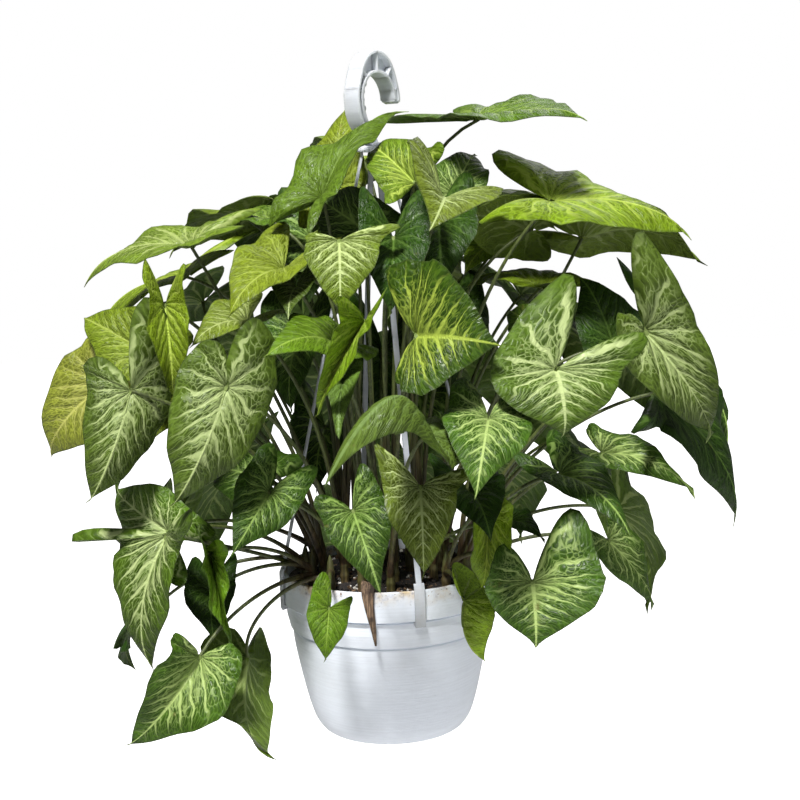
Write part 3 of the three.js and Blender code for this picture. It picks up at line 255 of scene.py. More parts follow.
# Every shoot: its name, where it stands, the blades' slot, and its leaves.
SHOOTS = [
    # ---- left
    ("shoot_left_far", (-62, -4), "leaf_lime", [
        leaf("yellow", (-250, -35, 340), (-315, -10, 265), (-200, -75, 360), (-240, -40, 405),
             sway=-30),
        leaf("yellowgreen", (-205, -65, 370), (-270, -25, 400), (-185, -100, 340),
             (-160, -90, 385)),
    ]),
    ("shoot_left_front", (-60, -26), "leaf_mid", [
        leaf("grey", (-210, -130, 345), (-250, -140, 250), (-200, -115, 425), (-245, -130, 370),
             sway=30, lobe=0.9, wide=0.8, sides=((19, 14, -4), (-40, -4, 6))),
        leaf("lime", (-180, -115, 415), (-175, -125, 330), (-160, -135, 450), (-190, -135, 455),
             lobe=0.75),
        leaf("olive", (-200, -30, 325), (-230, -90, 270), (-160, -10, 355), (-210, 5, 365), bow=44),
    ]),
    ("shoot_top_left", (-40, 10), "leaf_mid", [
        leaf("pale", (-165, -40, 460), (-270, -20, 430), (-115, -90, 475), (-105, -15, 495),
             lobe=0.65, bow=5),
        leaf("mid", (-95, -10, 480), (-165, 35, 470), (-75, -60, 485), (-45, -15, 500),
             wide=0.8, bow=52, sway=40, lobe=0.6),
        leaf("yellowgreen", (-80, -90, 440), (-125, -155, 405), (-30, -75, 465), (-80, -45, 480),
             bow=60, sway=40),
    ]),
    ("shoot_left_centre", (-40, -42), "leaf_mid", [
        leaf("grey", (-125, -165, 350), (-175, -180, 250), (-105, -140, 405), (-135, -165, 385),
             lobe=0.9, wide=0.85, sides=((28, 14, -8), (-43, -8, 14))),
        leaf("dark", (-110, -55, 250), (-165, -10, 250), (-95, -95, 235), (-70, -70, 270)),
        leaf("dark", (-100, -110, 250), (-130, -155, 205), (-60, -90, 265), (-100, -90, 290),
             bow=20, sway=30),
        leaf("pale", (-115, -80, 395), (-160, -125, 380), (-75, -70, 405), (-105, -45, 420)),
    ]),
    # ---- trailing, lower left
    ("shoot_trailing", (-78, -20), "leaf_mid", [
        leaf("hero", (-190, -110, 215), (-210, -115, 90), (-155, -175, 245), (-270, -95, 210),
             bow=5, sway=20, lobe=0.6, wide=0.85),
        leaf("hero", (-190, -100, 215), (-245, -55, 250), (-175, -130, 175), (-145, -130, 220),
             lobe=0.7),
        leaf("deep", (-210, -30, 135), (-255, 35, 45), (-240, -110, 115), (-210, -25, 215)),
    ]),
    ("shoot_trailing_low", (-70, -44), "leaf_mid", [
        leaf("veined", (-165, -125, 110), (-230, -150, 35), (-135, -125, 120), (-180, -160, 140),
             wide=1.15, lobe=0.8),
        leaf("bright", (-155, -105, 195), (-140, -95, 95), (-135, -155, 215), (-160, -160, 230),
             wide=0.7),
        leaf("deep", (-160, -60, 150), (-155, -105, 115), (-140, -40, 180), (-180, -35, 175)),
    ]),
    ("shoot_rim_left", (-52, -64), "leaf_deep", [
        leaf("plain", (-130, -70, 90), (-105, -160, 20), (-145, -50, 110), (-120, 5, 90),
             wide=0.85, bow=60, sway=12),
        leaf("bright", (-50, -145, 155), (-55, -160, 110), (-30, -150, 165), (-55, -140, 185)),
    ]),
    # ---- top
    ("shoot_hook", (-30, 14), "leaf_mid", [
        leaf("yellowgreen", (-35, 25, 510), (-25, 60, 590), (-70, 5, 475), (-15, -10, 470),
             wide=0.75, bow=52),
        leaf("plain", (-45, -70, 500), (30, -15, 580), (-95, -80, 480), (-60, -120, 475),
             wide=0.65, lobe=0.6),
    ]),
    ("shoot_cream_small", (-22, -28), "leaf_lime", [
        leaf("cream", (-30, -140, 465), (-30, -170, 405), (20, -150, 475), (-55, -150, 470),
             wide=1.3, bow=36),
        leaf("bright", (-35, -110, 375), (-95, -175, 375), (-5, -105, 370), (-25, -85, 385)),
        leaf("grey", (-70, -90, 425), (-75, -135, 400), (-50, -70, 450), (-85, -65, 450)),
    ]),
    ("shoot_centre_left", (-10, -12), "leaf_lime", [
        leaf("lime", (-10, -160, 400), (-55, -160, 320), (10, -210, 425), (-30, -205, 420), bow=52),
        leaf("sage", (-30, -125, 350), (-35, -175, 305), (-20, -115, 370), (-40, -115, 370),
             wide=0.6, bow=12, sway=12),
        leaf("dark", (-10, -25, 470), (-60, 15, 505), (5, -55, 435), (30, -55, 475)),
    ]),
    ("shoot_top_striped", (6, 8), "leaf_mid", [
        leaf("striped", (35, -80, 510), (-5, -30, 545), (10, -115, 495), (60, -100, 540),
             wide=1.1, curl=0.2),
        leaf("deep", (55, -60, 475), (55, -120, 415), (85, -35, 515), (30, -35, 510)),
        leaf("deep", (15, -115, 465), (10, -155, 400), (40, -100, 505), (-10, -105, 510),
             bow=20, sway=-12),
    ]),
    ("shoot_top_cream", (20, -14), "leaf_lime", [
        leaf("cream", (55, -140, 495), (45, -220, 475), (105, -120, 505), (40, -100, 545),
             wide=1.5, bow=12, sway=-20, lobe=1),
        leaf("veined", (70, -35, 500), (95, 10, 540), (35, -60, 495), (75, -70, 475), bow=12),
    ]),
    ("shoot_top", (32, 16), "leaf_deep", [
        leaf("mid", (95, -20, 565), (180, -115, 565), (80, 65, 580), (10, 0, 565),
             arch=0.05, bend=0, bow=60, lobe=0.6),
        leaf("olive", (140, -10, 465), (70, -65, 475), (190, 5, 485), (160, 40, 435),
             bow=44, sway=-20),
    ]),
    # ---- right
    ("shoot_right_lime", (46, -6), "leaf_lime", [
        leaf("lime", (155, -50, 490), (280, -75, 460), (115, 10, 530), (90, -105, 480), bend=0.02),
    ]),
    ("shoot_right_top", (54, 22), "leaf_mid", [
        leaf("olive", (190, 15, 455), (315, 45, 430), (110, 40, 455), (135, -40, 495),
             bow=12, sway=-40),
        leaf("lime", (115, 80, 445), (80, 20, 425), (155, 100, 455), (110, 120, 470), bow=44),
        leaf("olive", (150, 10, 410), (80, 55, 415), (170, -40, 410), (205, 5, 415), sway=-20),
    ]),
    ("shoot_right_big", (68, -20), "leaf_mid", [
        leaf("grey", (225, -115, 380), (295, -80, 270), (220, -125, 470), (210, -125, 395),
             wide=0.62, lobe=0.8, bow=12, sway=-30, sides=((33, -5, 10), (-18, -20, -13))),
        leaf("mid", (140, -100, 380), (115, -55, 395), (140, -130, 365), (160, -125, 395)),
    ]),
    ("shoot_right_back", (76, 4), "leaf_deep", [
        leaf("dark", (275, 75, 345), (320, -15, 240), (315, 155, 365), (230, 75, 430),
             wide=0.7, lobe=0.7),
        leaf("deep", (245, -40, 315), (330, -15, 185), (265, -25, 415), (215, -140, 295),
             wide=0.7, lobe=0.65),
    ]),
    ("shoot_right_low", (72, -42), "leaf_deep", [
        leaf("veined", (195, -60, 265), (275, -110, 235), (185, -40, 285), (165, -60, 270),
             wide=0.5, lobe=0.7),
        leaf("veined", (200, -60, 185), (245, -50, 115), (200, -60, 215), (175, -75, 200),
             wide=0.55, lobe=0.7),
        leaf("dark", (150, -125, 260), (200, -185, 220), (150, -90, 290), (110, -115, 280),
             wide=0.85, lobe=0.75),
    ]),
    # ---- front
    ("shoot_hero_right", (42, -34), "leaf_mid", [
        leaf("hero", (140, -200, 360), (145, -220, 305), (215, -185, 380), (155, -175, 435),
             lobe=0.95, wide=1.5, sides=((50, -5, -22), (-38, -8, 10)), curl=0.12),
        leaf("deep", (210, -40, 360), (185, 0, 420), (200, -75, 325), (250, -65, 340), bow=44),
    ]),
    ("shoot_hero_centre", (6, -42), "leaf_deep", [
        leaf("emerald", (30, -200, 390), (95, -235, 385), (10, -190, 445), (15, -220, 355),
             wide=2, lobe=1),
    ]),
    ("shoot_hero_lower", (28, -56), "leaf_mid", [
        leaf("veined", (85, -215, 325), (70, -280, 275), (110, -190, 345), (65, -185, 355)),
        leaf("deep", (70, -155, 255), (85, -215, 225), (90, -120, 285), (40, -130, 280)),
        leaf("deep", (105, -110, 215), (135, -155, 210), (105, -90, 225), (85, -100, 220),
             wide=0.7),
    ]),
    ("shoot_front", (2, -72), "leaf_deep", [
        leaf("sage", (35, -235, 315), (-40, -315, 295), (60, -220, 310), (40, -205, 320),
             bend=0.42, wide=0.6),
        # this blade's cream look is partly its own colour and partly painted light: its green is
        # lighter, to stand in for light where it lies in the shade of the arched leaf above
        leaf("cream", (30, -205, 270), (30, -235, 200), (70, -215, 280), (-5, -205, 305)),
    ]),
    ("shoot_front_left", (-24, -62), "leaf_deep", [
        leaf("dark", (-25, -195, 250), (-5, -225, 190), (-15, -185, 285), (-55, -200, 260)),
    ]),
    ("shoot_rim_right", (52, -66), "leaf_mid", [
        leaf("lime", (85, -150, 235), (80, -130, 160), (100, -170, 250), (80, -170, 255)),
        # this blade's bright look is partly painted light: lighter than its own green, to stand in
        # for light where it lies in the shade of the leaves above
        leaf("fresh_and_painted_light", (65, -135, 155), (80, -155, 105), (95, -145, 155), (60, -120, 185),
             wide=1.4),
        leaf("veined", (120, -175, 180), (120, -200, 130), (160, -160, 235), (95, -170, 210),
             bow=36, sway=12, lobe=1, wide=1.9),
    ]),
    # ---- rear and sides
    ("shoot_rear_right_low", (74, 30), "leaf_mid", [
        rear("mid", 16, 235, 185, 120, 70, -10),
        rear("veined", 34, 215, 250, 125, 50, 12),
        rear("hero", 28, 240, 340, 130, 44, -8),
    ]),
    ("shoot_rear_right", (52, 52), "leaf_deep", [
        rear("dark", 42, 190, 395, 120, 35, 10),
        rear("mid", 52, 235, 300, 130, 55, -12),
        rear("veined", 58, 220, 210, 115, 58, 8),
    ]),
    ("shoot_rear_right_top", (30, 44), "leaf_lime", [
        rear("lime", 40, 120, 490, 125, 14, -10, bow=70, sway=20),
        rear("pale", 76, 150, 430, 120, 34, 12),
        leaf("deep", (65, 100, 380), (65, 35, 310), (95, 135, 425), (30, 125, 435)),
    ]),
    ("shoot_rear_mid", (22, 74), "leaf_mid", [
        rear("mid", 72, 215, 335, 130, 50, -10),
        rear("veined", 84, 205, 215, 120, 66, 12),
        rear("hero", 64, 170, 130, 105, 74, 0),
        leaf("dark", (35, 120, 300), (35, 55, 230), (65, 150, 340), (5, 140, 345), bow=44),
    ]),
    ("shoot_rear_top", (-4, 34), "leaf_lime", [
        rear("lime", 96, 115, 535, 125, 14, 8, bow=44, sway=-12),
        rear("pale", 122, 170, 445, 120, 18, -12),
        leaf("deep", (0, 130, 345), (-5, 65, 270), (35, 155, 395), (-30, 155, 400), bow=52),
    ]),
    ("shoot_rear_left_mid", (-18, 72), "leaf_deep", [
        rear("dark", 102, 225, 300, 130, 56, 10, bow=44, sway=-12),
        rear("mid", 112, 190, 390, 120, 38, -8, sway=-30),
        rear("veined", 100, 185, 140, 110, 72, 10),
        leaf("dark", (-60, 110, 270), (-70, 55, 210), (-30, 125, 315), (-85, 135, 315)),
    ]),
    ("shoot_rear_left", (-46, 54), "leaf_mid", [
        rear("mid", 128, 220, 345, 130, 46, 10, bow=12),
        rear("veined", 138, 215, 220, 120, 64, -10),
        rear("hero", 122, 185, 475, 110, 26, 6, bow=36),
        leaf("dark", (-75, 25, 370), (-85, -40, 305), (-45, 45, 420), (-105, 60, 415)),
    ]),
    ("shoot_rear_left_low", (-72, 28), "leaf_mid", [
        rear("mid", 156, 235, 300, 125, 52, -12),
        rear("veined", 148, 210, 400, 120, 30, 8, sway=40),
        rear("hero", 165, 225, 180, 115, 66, 10),
    ]),
    ("shoot_side_left", (-40, 32), "leaf_lime", [
        rear("lime", 166, 190, 430, 120, 30, -10, bow=44),
        rear("pale", 146, 150, 480, 115, 16, 12, bow=44),
        leaf("dark", (-60, 40, 460), (-70, -25, 390), (-25, 60, 510), (-90, 75, 510),
             bow=36, sway=-20),
    ]),
]

# ------------------------------------------------------------------ settings a user would change
class PotSettings(bpy.types.PropertyGroup):
    rib_depth: FloatProperty(
        name="Rib depth", description="How far the fine ribs stand out of the pot's side",
        default=0.12 * MM, unit="LENGTH")
    rib_pitch: FloatProperty(
        name="Rib pitch", description="Distance from one fine rib to the next",
        default=2.9 * MM, unit="LENGTH")
    plastic: FloatVectorProperty(
        name="Plastic", description="Colour of the pot and its hanger",
        default=(0.85, 0.90, 0.98), subtype="COLOR", size=3)
    grime: FloatProperty(
        name="Grime", description="How soiled the rim and the collar are",
        default=0.75, subtype="FACTOR", min=0, max=1)


class LeafSettings(bpy.types.PropertyGroup):
    thickness: FloatProperty(
        name="Blade thickness", description="Thickness of a blade away from its midrib",
        default=0.5 * MM, unit="LENGTH")
    midrib: FloatProperty(
        name="Midrib", description="How far the midrib stands out of a blade's underside",
        default=0.9 * MM, unit="LENGTH")
    pucker: FloatProperty(
        name="Pucker", description="Rise of the blade between two side veins, of its length",
        default=0.010, subtype="FACTOR", min=0, max=0.05)
    wave: FloatProperty(
        name="Wave", description="Waviness of the margin, as a share of the blade's length",
        default=0.024, subtype="FACTOR", min=0, max=0.1)
    vein_step: FloatProperty(
        name="Vein step", description="Distance between side veins along the midrib, of its length",
        default=0.155, subtype="FACTOR", min=0.02, max=0.3)


class SoilSettings(bpy.types.PropertyGroup):
    crumbs: IntProperty(
        name="Crumbs", description="Number of loose crumbs of potting mix", default=900, min=0)
    roughness: FloatProperty(
        name="Lumps", description="Height of the lumps in the soil's surface",
        default=2.2 * MM, unit="LENGTH")
    # near black: partly the mix's own colour, partly painted shade for the shade under the leaves
    mix_and_painted_shade_colour: FloatVectorProperty(
        name="Potting mix", description="Colour of the damp potting mix",
        default=(0.008, 0.006, 0.005), subtype="COLOR", size=3)


class StageSettings(bpy.types.PropertyGroup):
    floor_drop: FloatProperty(
        name="Floor drop", description="How far the floor is below the hanging pot",
        default=0.9, unit="LENGTH")
    key_power: FloatProperty(
        name="Key light", description="Power of the high soft light in front, in watts",
        default=165.0, min=0)
    fill_power: FloatProperty(
        name="Fill light", description="Power of the soft lights at the right and behind, in watts",
        default=13.0, min=0)
    sky_strength: FloatProperty(
        name="Sky", description="Strength of the even light from all round", default=0.18, min=0)
    floor_lift: FloatProperty(
        name="Floor lift", description="How much the seen floor is lifted towards white",
        default=1.3, min=0)
    floor_colour: FloatVectorProperty(
        name="Floor", description="Colour of the floor and the backdrop",
        default=(0.93, 0.93, 0.93), subtype="COLOR", size=3)


# ------------------------------------------------------------------ helpers
def row(points):
    """Points in millimetres from the pot's underside, moved to the row's frame in metres."""
    return (np.asarray(points, float) - (0.0, 0.0, BEARING_Z)) * MM


def linear(colour):
    """A colour given in 0..255 display values, as the linear values that shaders take."""
    c = np.asarray(colour, float) / 255.0
    return np.where(c <= 0.04045, c / 12.92, ((c + 0.055) / 1.055) ** 2.4)


def unit(v):
    """v divided by its length, along the last axis."""
    v = np.asarray(v, float)
    return v / np.maximum(np.linalg.norm(v, axis=-1, keepdims=True), 1e-12)


def ramp(value, run):
    """From 0 where the value is 0, straight up to 1 where it is `run`."""
    return np.clip(value / run, 0, 1)


def bell(value, width):
    """1 where the value is 0, falling off as exp(-(value / width)^2)."""
    return np.exp(-(value / width) ** 2)


def along_line(points, count):
    """`count` points evenly spaced by length along the line through `points`."""
    points = np.asarray(points, float)
    run = np.concatenate(([0.0], np.cumsum(np.linalg.norm(np.diff(points, axis=0), axis=1))))
    want = np.linspace(0.0, run[-1], count)
    return np.stack([np.interp(want, run, points[:, k]) for k in range(points.shape[1])], 1)


def rounded(points, rounds=2):
    """The line through `points` with its corners cut at a quarter of each side, `rounds` times;
    its two ends stay."""
    points = np.asarray(points, float)
    for _ in range(rounds):
        a, b = points[:-1], points[1:]
        cut = np.stack([0.75 * a + 0.25 * b, 0.25 * a + 0.75 * b], 1).reshape(-1, points.shape[1])
        points = np.concatenate([points[:1], cut, points[-1:]])
    return points


def circle(sides):
    """The angles of `sides` points evenly round a circle."""
    return 2 * np.pi * np.arange(sides) / sides


def grid_quads(rows, columns, closed=False):
    """Faces of a grid of rows x columns points, numbered row by row; `closed` joins the last
    column to the first."""
    r = np.arange(rows - 1)[:, None]
    c = np.arange(columns if closed else columns - 1)[None, :]
    d = (c + 1) % columns
    return np.stack([r * columns + c, r * columns + d, (r + 1) * columns + d,
                     (r + 1) * columns + c], -1).reshape(-1, 4)


def split_quads(quads):
    """Two triangles from each quad."""
    return np.concatenate([quads[:, [0, 1, 2]], quads[:, [0, 2, 3]]])


def vertex_normals(points, triangles):
    """Unit normals at the points: the sum of the cross products of the triangles that meet."""
    a, b, c = (points[triangles[:, k]] for k in range(3))
    face = np.cross(b - a, c - a)
    total = np.zeros_like(points)
    for k in range(3):
        np.add.at(total, triangles[:, k], face)
    return unit(total)


class Shell:
    """Closed surfaces gathered into one mesh: points, faces with 3, 4 or more corners, the
    material each face has, and named values at the points."""

    def __init__(self):
        self.points, self.faces, self.values, self.count = [], [], {}, 0

    def add(self, points, faces, material=0, **values):
        """faces is a list of arrays, one for each number of corners."""
        for block in faces:
            self.faces.append((np.atleast_2d(block) + self.count, material))
        self.points.append(points)
        for name, value in values.items():
            value = np.asarray(value, float)
            if value.ndim == 1:
                value = np.broadcast_to(value, (len(points), len(value)))
            self.values.setdefault(name, []).append((self.count, value))
        self.count += len(points)

    def build(self, name, materials, sharp=55.0):
        """The mesh object, with smooth faces and edges sharper than `sharp` degrees kept."""
        mesh = bpy.data.meshes.new(name)
        points = np.concatenate(self.points)
        mesh.vertices.add(len(points))
        mesh.vertices.foreach_set("co", points.astype(np.float32).ravel())
        corners = np.concatenate([b.ravel() for b, _ in self.faces]).astype(np.int32)
        sizes = np.concatenate([np.full(len(b), b.shape[1]) for b, _ in self.faces])
        slots = np.concatenate([np.full(len(b), m) for b, m in self.faces]).astype(np.int32)
        starts = np.concatenate(([0], np.cumsum(sizes)[:-1])).astype(np.int32)
        mesh.loops.add(len(corners))
        mesh.loops.foreach_set("vertex_index", corners)
        mesh.polygons.add(len(sizes))
        mesh.polygons.foreach_set("loop_start", starts)
        for material in materials:
            mesh.materials.append(material)
        mesh.update(calc_edges=True)
        mesh.polygons.foreach_set("material_index", slots)
        smooth_but_sharp(mesh, sharp)
        for key, blocks in self.values.items():
            width = blocks[0][1].shape[1]
            whole = np.zeros((len(points), width), np.float32)
            for start, value in blocks:
                whole[start:start + len(value)] = value
            kind, field = ("FLOAT_COLOR", "color") if width == 4 else ("FLOAT_VECTOR", "vector")
            mesh.attributes.new(key, kind, "POINT").data.foreach_set(field, whole.ravel())
        if mesh.validate():
            raise RuntimeError(f"{name}: the mesh had faults")
        piece = bpy.data.objects.new(name, mesh)
        bpy.context.scene.collection.objects.link(piece)
        return piece


def smooth_but_sharp(mesh, sharp):
    """Smooth faces, with the edges sharper than `sharp` degrees kept."""
    mesh.polygons.foreach_set("use_smooth", np.ones(len(mesh.polygons), bool))
    mesh.set_sharp_from_angle(angle=math.radians(sharp))


def put(piece, slot_name, *nodes):
    """Rides the piece on the plant's one body, in the place of its solids."""
    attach(piece, "root")
    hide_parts(*nodes)


def lathe(profile, sides):
    """A round closed surface about Z: the profile's [radius, height] points, first and last on
    the axis, each turned through `sides` steps. Returns points and faces."""
    profile = np.asarray(profile, float)
    inner = profile[1:-1]
    angle = circle(sides)
    ring = np.stack([
        inner[:, :1] * np.cos(angle), inner[:, :1] * np.sin(angle),
        np.repeat(inner[:, 1:], sides, 1),
    ], -1).reshape(-1, 3)
    points = np.concatenate([ring, [(0, 0, profile[0, 1]), (0, 0, profile[-1, 1])]])
    turn = np.arange(sides)
    after = (turn + 1) % sides
    last = (len(inner) - 1) * sides
    first_fan = np.stack([np.full(sides, len(ring)), after, turn], 1)
    last_fan = np.stack([np.full(sides, len(ring) + 1), last + turn, last + after], 1)
    return points, [grid_quads(len(inner), sides, closed=True), first_fan, last_fan]


def tube(centres, radii, sides, start_across=None):
    """A round tube along a line of centres: each ring is a circle of its radius, square to the
    line, and the ends are flat. Returns points, faces and the share of the way at each point."""
    centres = np.asarray(centres, float)
    radii = np.broadcast_to(np.asarray(radii, float), (len(centres),))
    tangent = unit(np.gradient(centres, axis=0))
    if start_across is None:
        start_across = (-tangent[0, 1], tangent[0, 0], 0.01)
    guess = np.asarray(start_across, float)
    across = np.empty_like(tangent)
    for i, t in enumerate(tangent):
        guess = unit(guess - t * (guess @ t))
        across[i] = guess
    other = np.cross(tangent, across)
    angle = circle(sides)
    ring = (centres[:, None] + radii[:, None, None] * (
        across[:, None] * np.cos(angle)[None, :, None]
        + other[:, None] * np.sin(angle)[None, :, None])).reshape(-1, 3)
    turn = np.arange(sides)
    ends = np.stack([turn[::-1], (len(centres) - 1) * sides + turn])
    share = np.repeat(np.linspace(0, 1, len(centres)), sides)
    return ring, [grid_quads(len(centres), sides, closed=True), ends], share


def slab(outline, width, turn):
    """A flat closed outline of [radius, height] points, given a width and stood in the vertical
    plane at the angle `turn`, in degrees. Returns points and faces."""
    outline = np.asarray(outline, float)
    a = math.radians(turn)
    away, side = np.array((math.cos(a), math.sin(a), 0)), np.array((-math.sin(a), math.cos(a), 0))
    flat = outline[:, :1] * away + outline[:, 1:] * np.array((0, 0, 1.0))
    points = np.concatenate([flat - side * width / 2, flat + side * width / 2])
    n = len(outline)
    i = np.arange(n)
    walls = np.stack([i, (i + 1) % n, (i + 1) % n + n, i + n], 1)
    ends = np.stack([i[::-1], i + n])
    area = np.sum(outline[:, 0] * np.roll(outline[:, 1], -1)
                  - np.roll(outline[:, 0], -1) * outline[:, 1])
    if area > 0:
        walls, ends = walls[:, ::-1], ends[:, ::-1]
    return points, [walls, ends]


def thick_sheet(top, bottom, faces, edge):
    """A closed sheet from its upper and lower points, the faces of its upper side and the loop
    of points round its edge. Returns points and faces."""
    n = len(top)
    after = np.roll(edge, -1)
    wall = np.stack([edge, edge + n, after + n, after], 1)
    return np.concatenate([top, bottom]), [*faces, *(f[:, ::-1] + n for f in faces), wall]


# A block's corners, in units of its half sizes, and its faces.
BLOCK_CORNERS = np.array([(x, y, z) for x in (-1, 1) for y in (-1, 1) for z in (-1, 1)], float)
BLOCK_FACES = np.array([(0, 1, 3, 2), (4, 6, 7, 5), (0, 4, 5, 1), (2, 3, 7, 6), (0, 2, 6, 4),
                        (1, 5, 7, 3)])


def ripple(points, seed, scale, octaves):
    """Smooth repeatable noise at the points, about -1..1: sines of several directions, whose
    directions and phases come from the seed, each octave finer and weaker."""
    rng = np.random.default_rng(seed)
    total = np.zeros(len(points))
    size = 1.0
    for _ in range(octaves):
        ways = rng.normal(size=(5, 3))
        ways *= 2 * np.pi / (scale * np.linalg.norm(ways, axis=1, keepdims=True))
        total += size * np.sin(points @ ways.T + rng.uniform(0, 6.28, 5)).mean(1)
        scale, size = scale * 0.5, size * 0.55
    return total


def bevelled(piece, width, segments=2):
    """Rounds the piece's edges and keeps the result as its own mesh."""
    bevel = piece.modifiers.new("edge", "BEVEL")
    bevel.width, bevel.segments, bevel.limit_method = width, segments, "ANGLE"
    bevel.angle_limit = math.radians(35)
    bevel.use_clamp_overlap = True
    return applied(piece)


def applied(piece):
    """The piece with its modifiers' result as its mesh."""
    done = piece.evaluated_get(bpy.context.evaluated_depsgraph_get())
    mesh = bpy.data.meshes.new_from_object(done)
    piece.modifiers.clear()
    piece.data = mesh
    return piece


# ------------------------------------------------------------------ shader building
class Wiring:
    """Short ways to add and join nodes in one node tree."""

    def __init__(self, tree):
        self.tree, self.nodes = tree, tree.nodes

    def link(self, source, target):
        """Joins two sockets, or sets a plain value on the target."""
        if isinstance(source, bpy.types.NodeSocket):
            self.tree.links.new(source, target)
        else:
            target.default_value = source

    def node(self, kind, **settings):
        n = self.nodes.new("ShaderNode" + kind)
        for key, value in settings.items():
            setattr(n, key, value)
        return n

    def filled(self, kind, **inputs):
        """The outputs of a new node whose named inputs are filled."""
        return self.fill(self.node(kind), inputs)

    def fill(self, n, inputs):
        for name, value in inputs.items():
            self.link(value, n.inputs[name])
        return n.outputs

    def math(self, operation, *values, clamp=False):
        n = self.node("Math", operation=operation, use_clamp=clamp)
        for socket, value in zip(n.inputs, values):
            self.link(value, socket)
        return n.outputs[0]

    def times(self, a, b):
        return self.math("MULTIPLY", a, b)

    def times_plus(self, a, b, c):
        return self.math("MULTIPLY_ADD", a, b, c)

    def larger(self, a, b):
        return self.math("MAXIMUM", a, b)

    def fade(self, value, low, high, out_low=0.0, out_high=1.0):
        """Smoothly from out_low at `low` to out_high at `high`."""
        n = self.node("MapRange", interpolation_type="SMOOTHSTEP")
        return self.fill(n, {"Value": value, "From Min": low, "From Max": high,
                             "To Min": out_low, "To Max": out_high})["Result"]

    def mix(self, share, a, b, blend="MIX"):
        n = self.node("Mix", data_type="RGBA", blend_type=blend)
        sockets = {s.identifier: s for s in (*n.inputs, *n.outputs)}
        for name, value in (("Factor_Float", share), ("A_Color", a), ("B_Color", b)):
            self.link(value, sockets[name])
        return sockets["Result_Color"]

    def noise(self, vector, scale, detail=3.0, roughness=0.5, distortion=0.0):
        return self.filled("TexNoise", Vector=vector, Scale=scale, Detail=detail,
                           Roughness=roughness, Distortion=distortion)["Fac"]

    def scaled(self, vector, scale):
        n = self.node("VectorMath", operation="MULTIPLY")
        self.link(vector, n.inputs[0])
        self.link(scale, n.inputs[1])
        return n.outputs[0]

    def bump(self, height, strength, distance):
        return self.filled("Bump", Height=height, Strength=strength, Distance=distance)["Normal"]

    def parts(self, vector):
        """The three parts of a vector."""
        return self.filled("SeparateXYZ", Vector=vector).values()

    def attribute(self, name):
        return self.node("Attribute", attribute_name=name).outputs


def new_group(name, inputs, outputs):
    """An empty shader node group, given the kind of each of its named sockets; returns it, its
    wiring, its input sockets by name and its output node's sockets."""
    group = bpy.data.node_groups.new(name, "ShaderNodeTree")
    for direction, sockets in (("INPUT", inputs), ("OUTPUT", outputs)):
        for label, kind in sockets.items():
            group.interface.new_socket(name=label, in_out=direction,
                                       socket_type="NodeSocket" + kind)
    w = Wiring(group)
    entry, out = w.nodes.new("NodeGroupInput"), w.nodes.new("NodeGroupOutput")
    return group, w, {s.name: s for s in entry.outputs if s.name}, out.inputs


def new_material(name, roughness=0.5):
    """A material with its wiring, its Principled shader's inputs and Object coordinates."""
    material = bpy.data.materials.new(name)
    material.use_nodes = True
    w = Wiring(material.node_tree)
    shader = w.nodes["Principled BSDF"].inputs
    shader["Roughness"].default_value = roughness
    return material, w, shader, w.node("TexCoord").outputs["Object"]


def use_group(w, name, **inputs):
    """Places the shared node group of that name, made when it is first asked for, and fills its
    inputs."""
    tree = bpy.data.node_groups.get(name) or GROUP_MAKERS[name](name)
    return w.fill(w.node("Group", node_tree=tree), inputs)


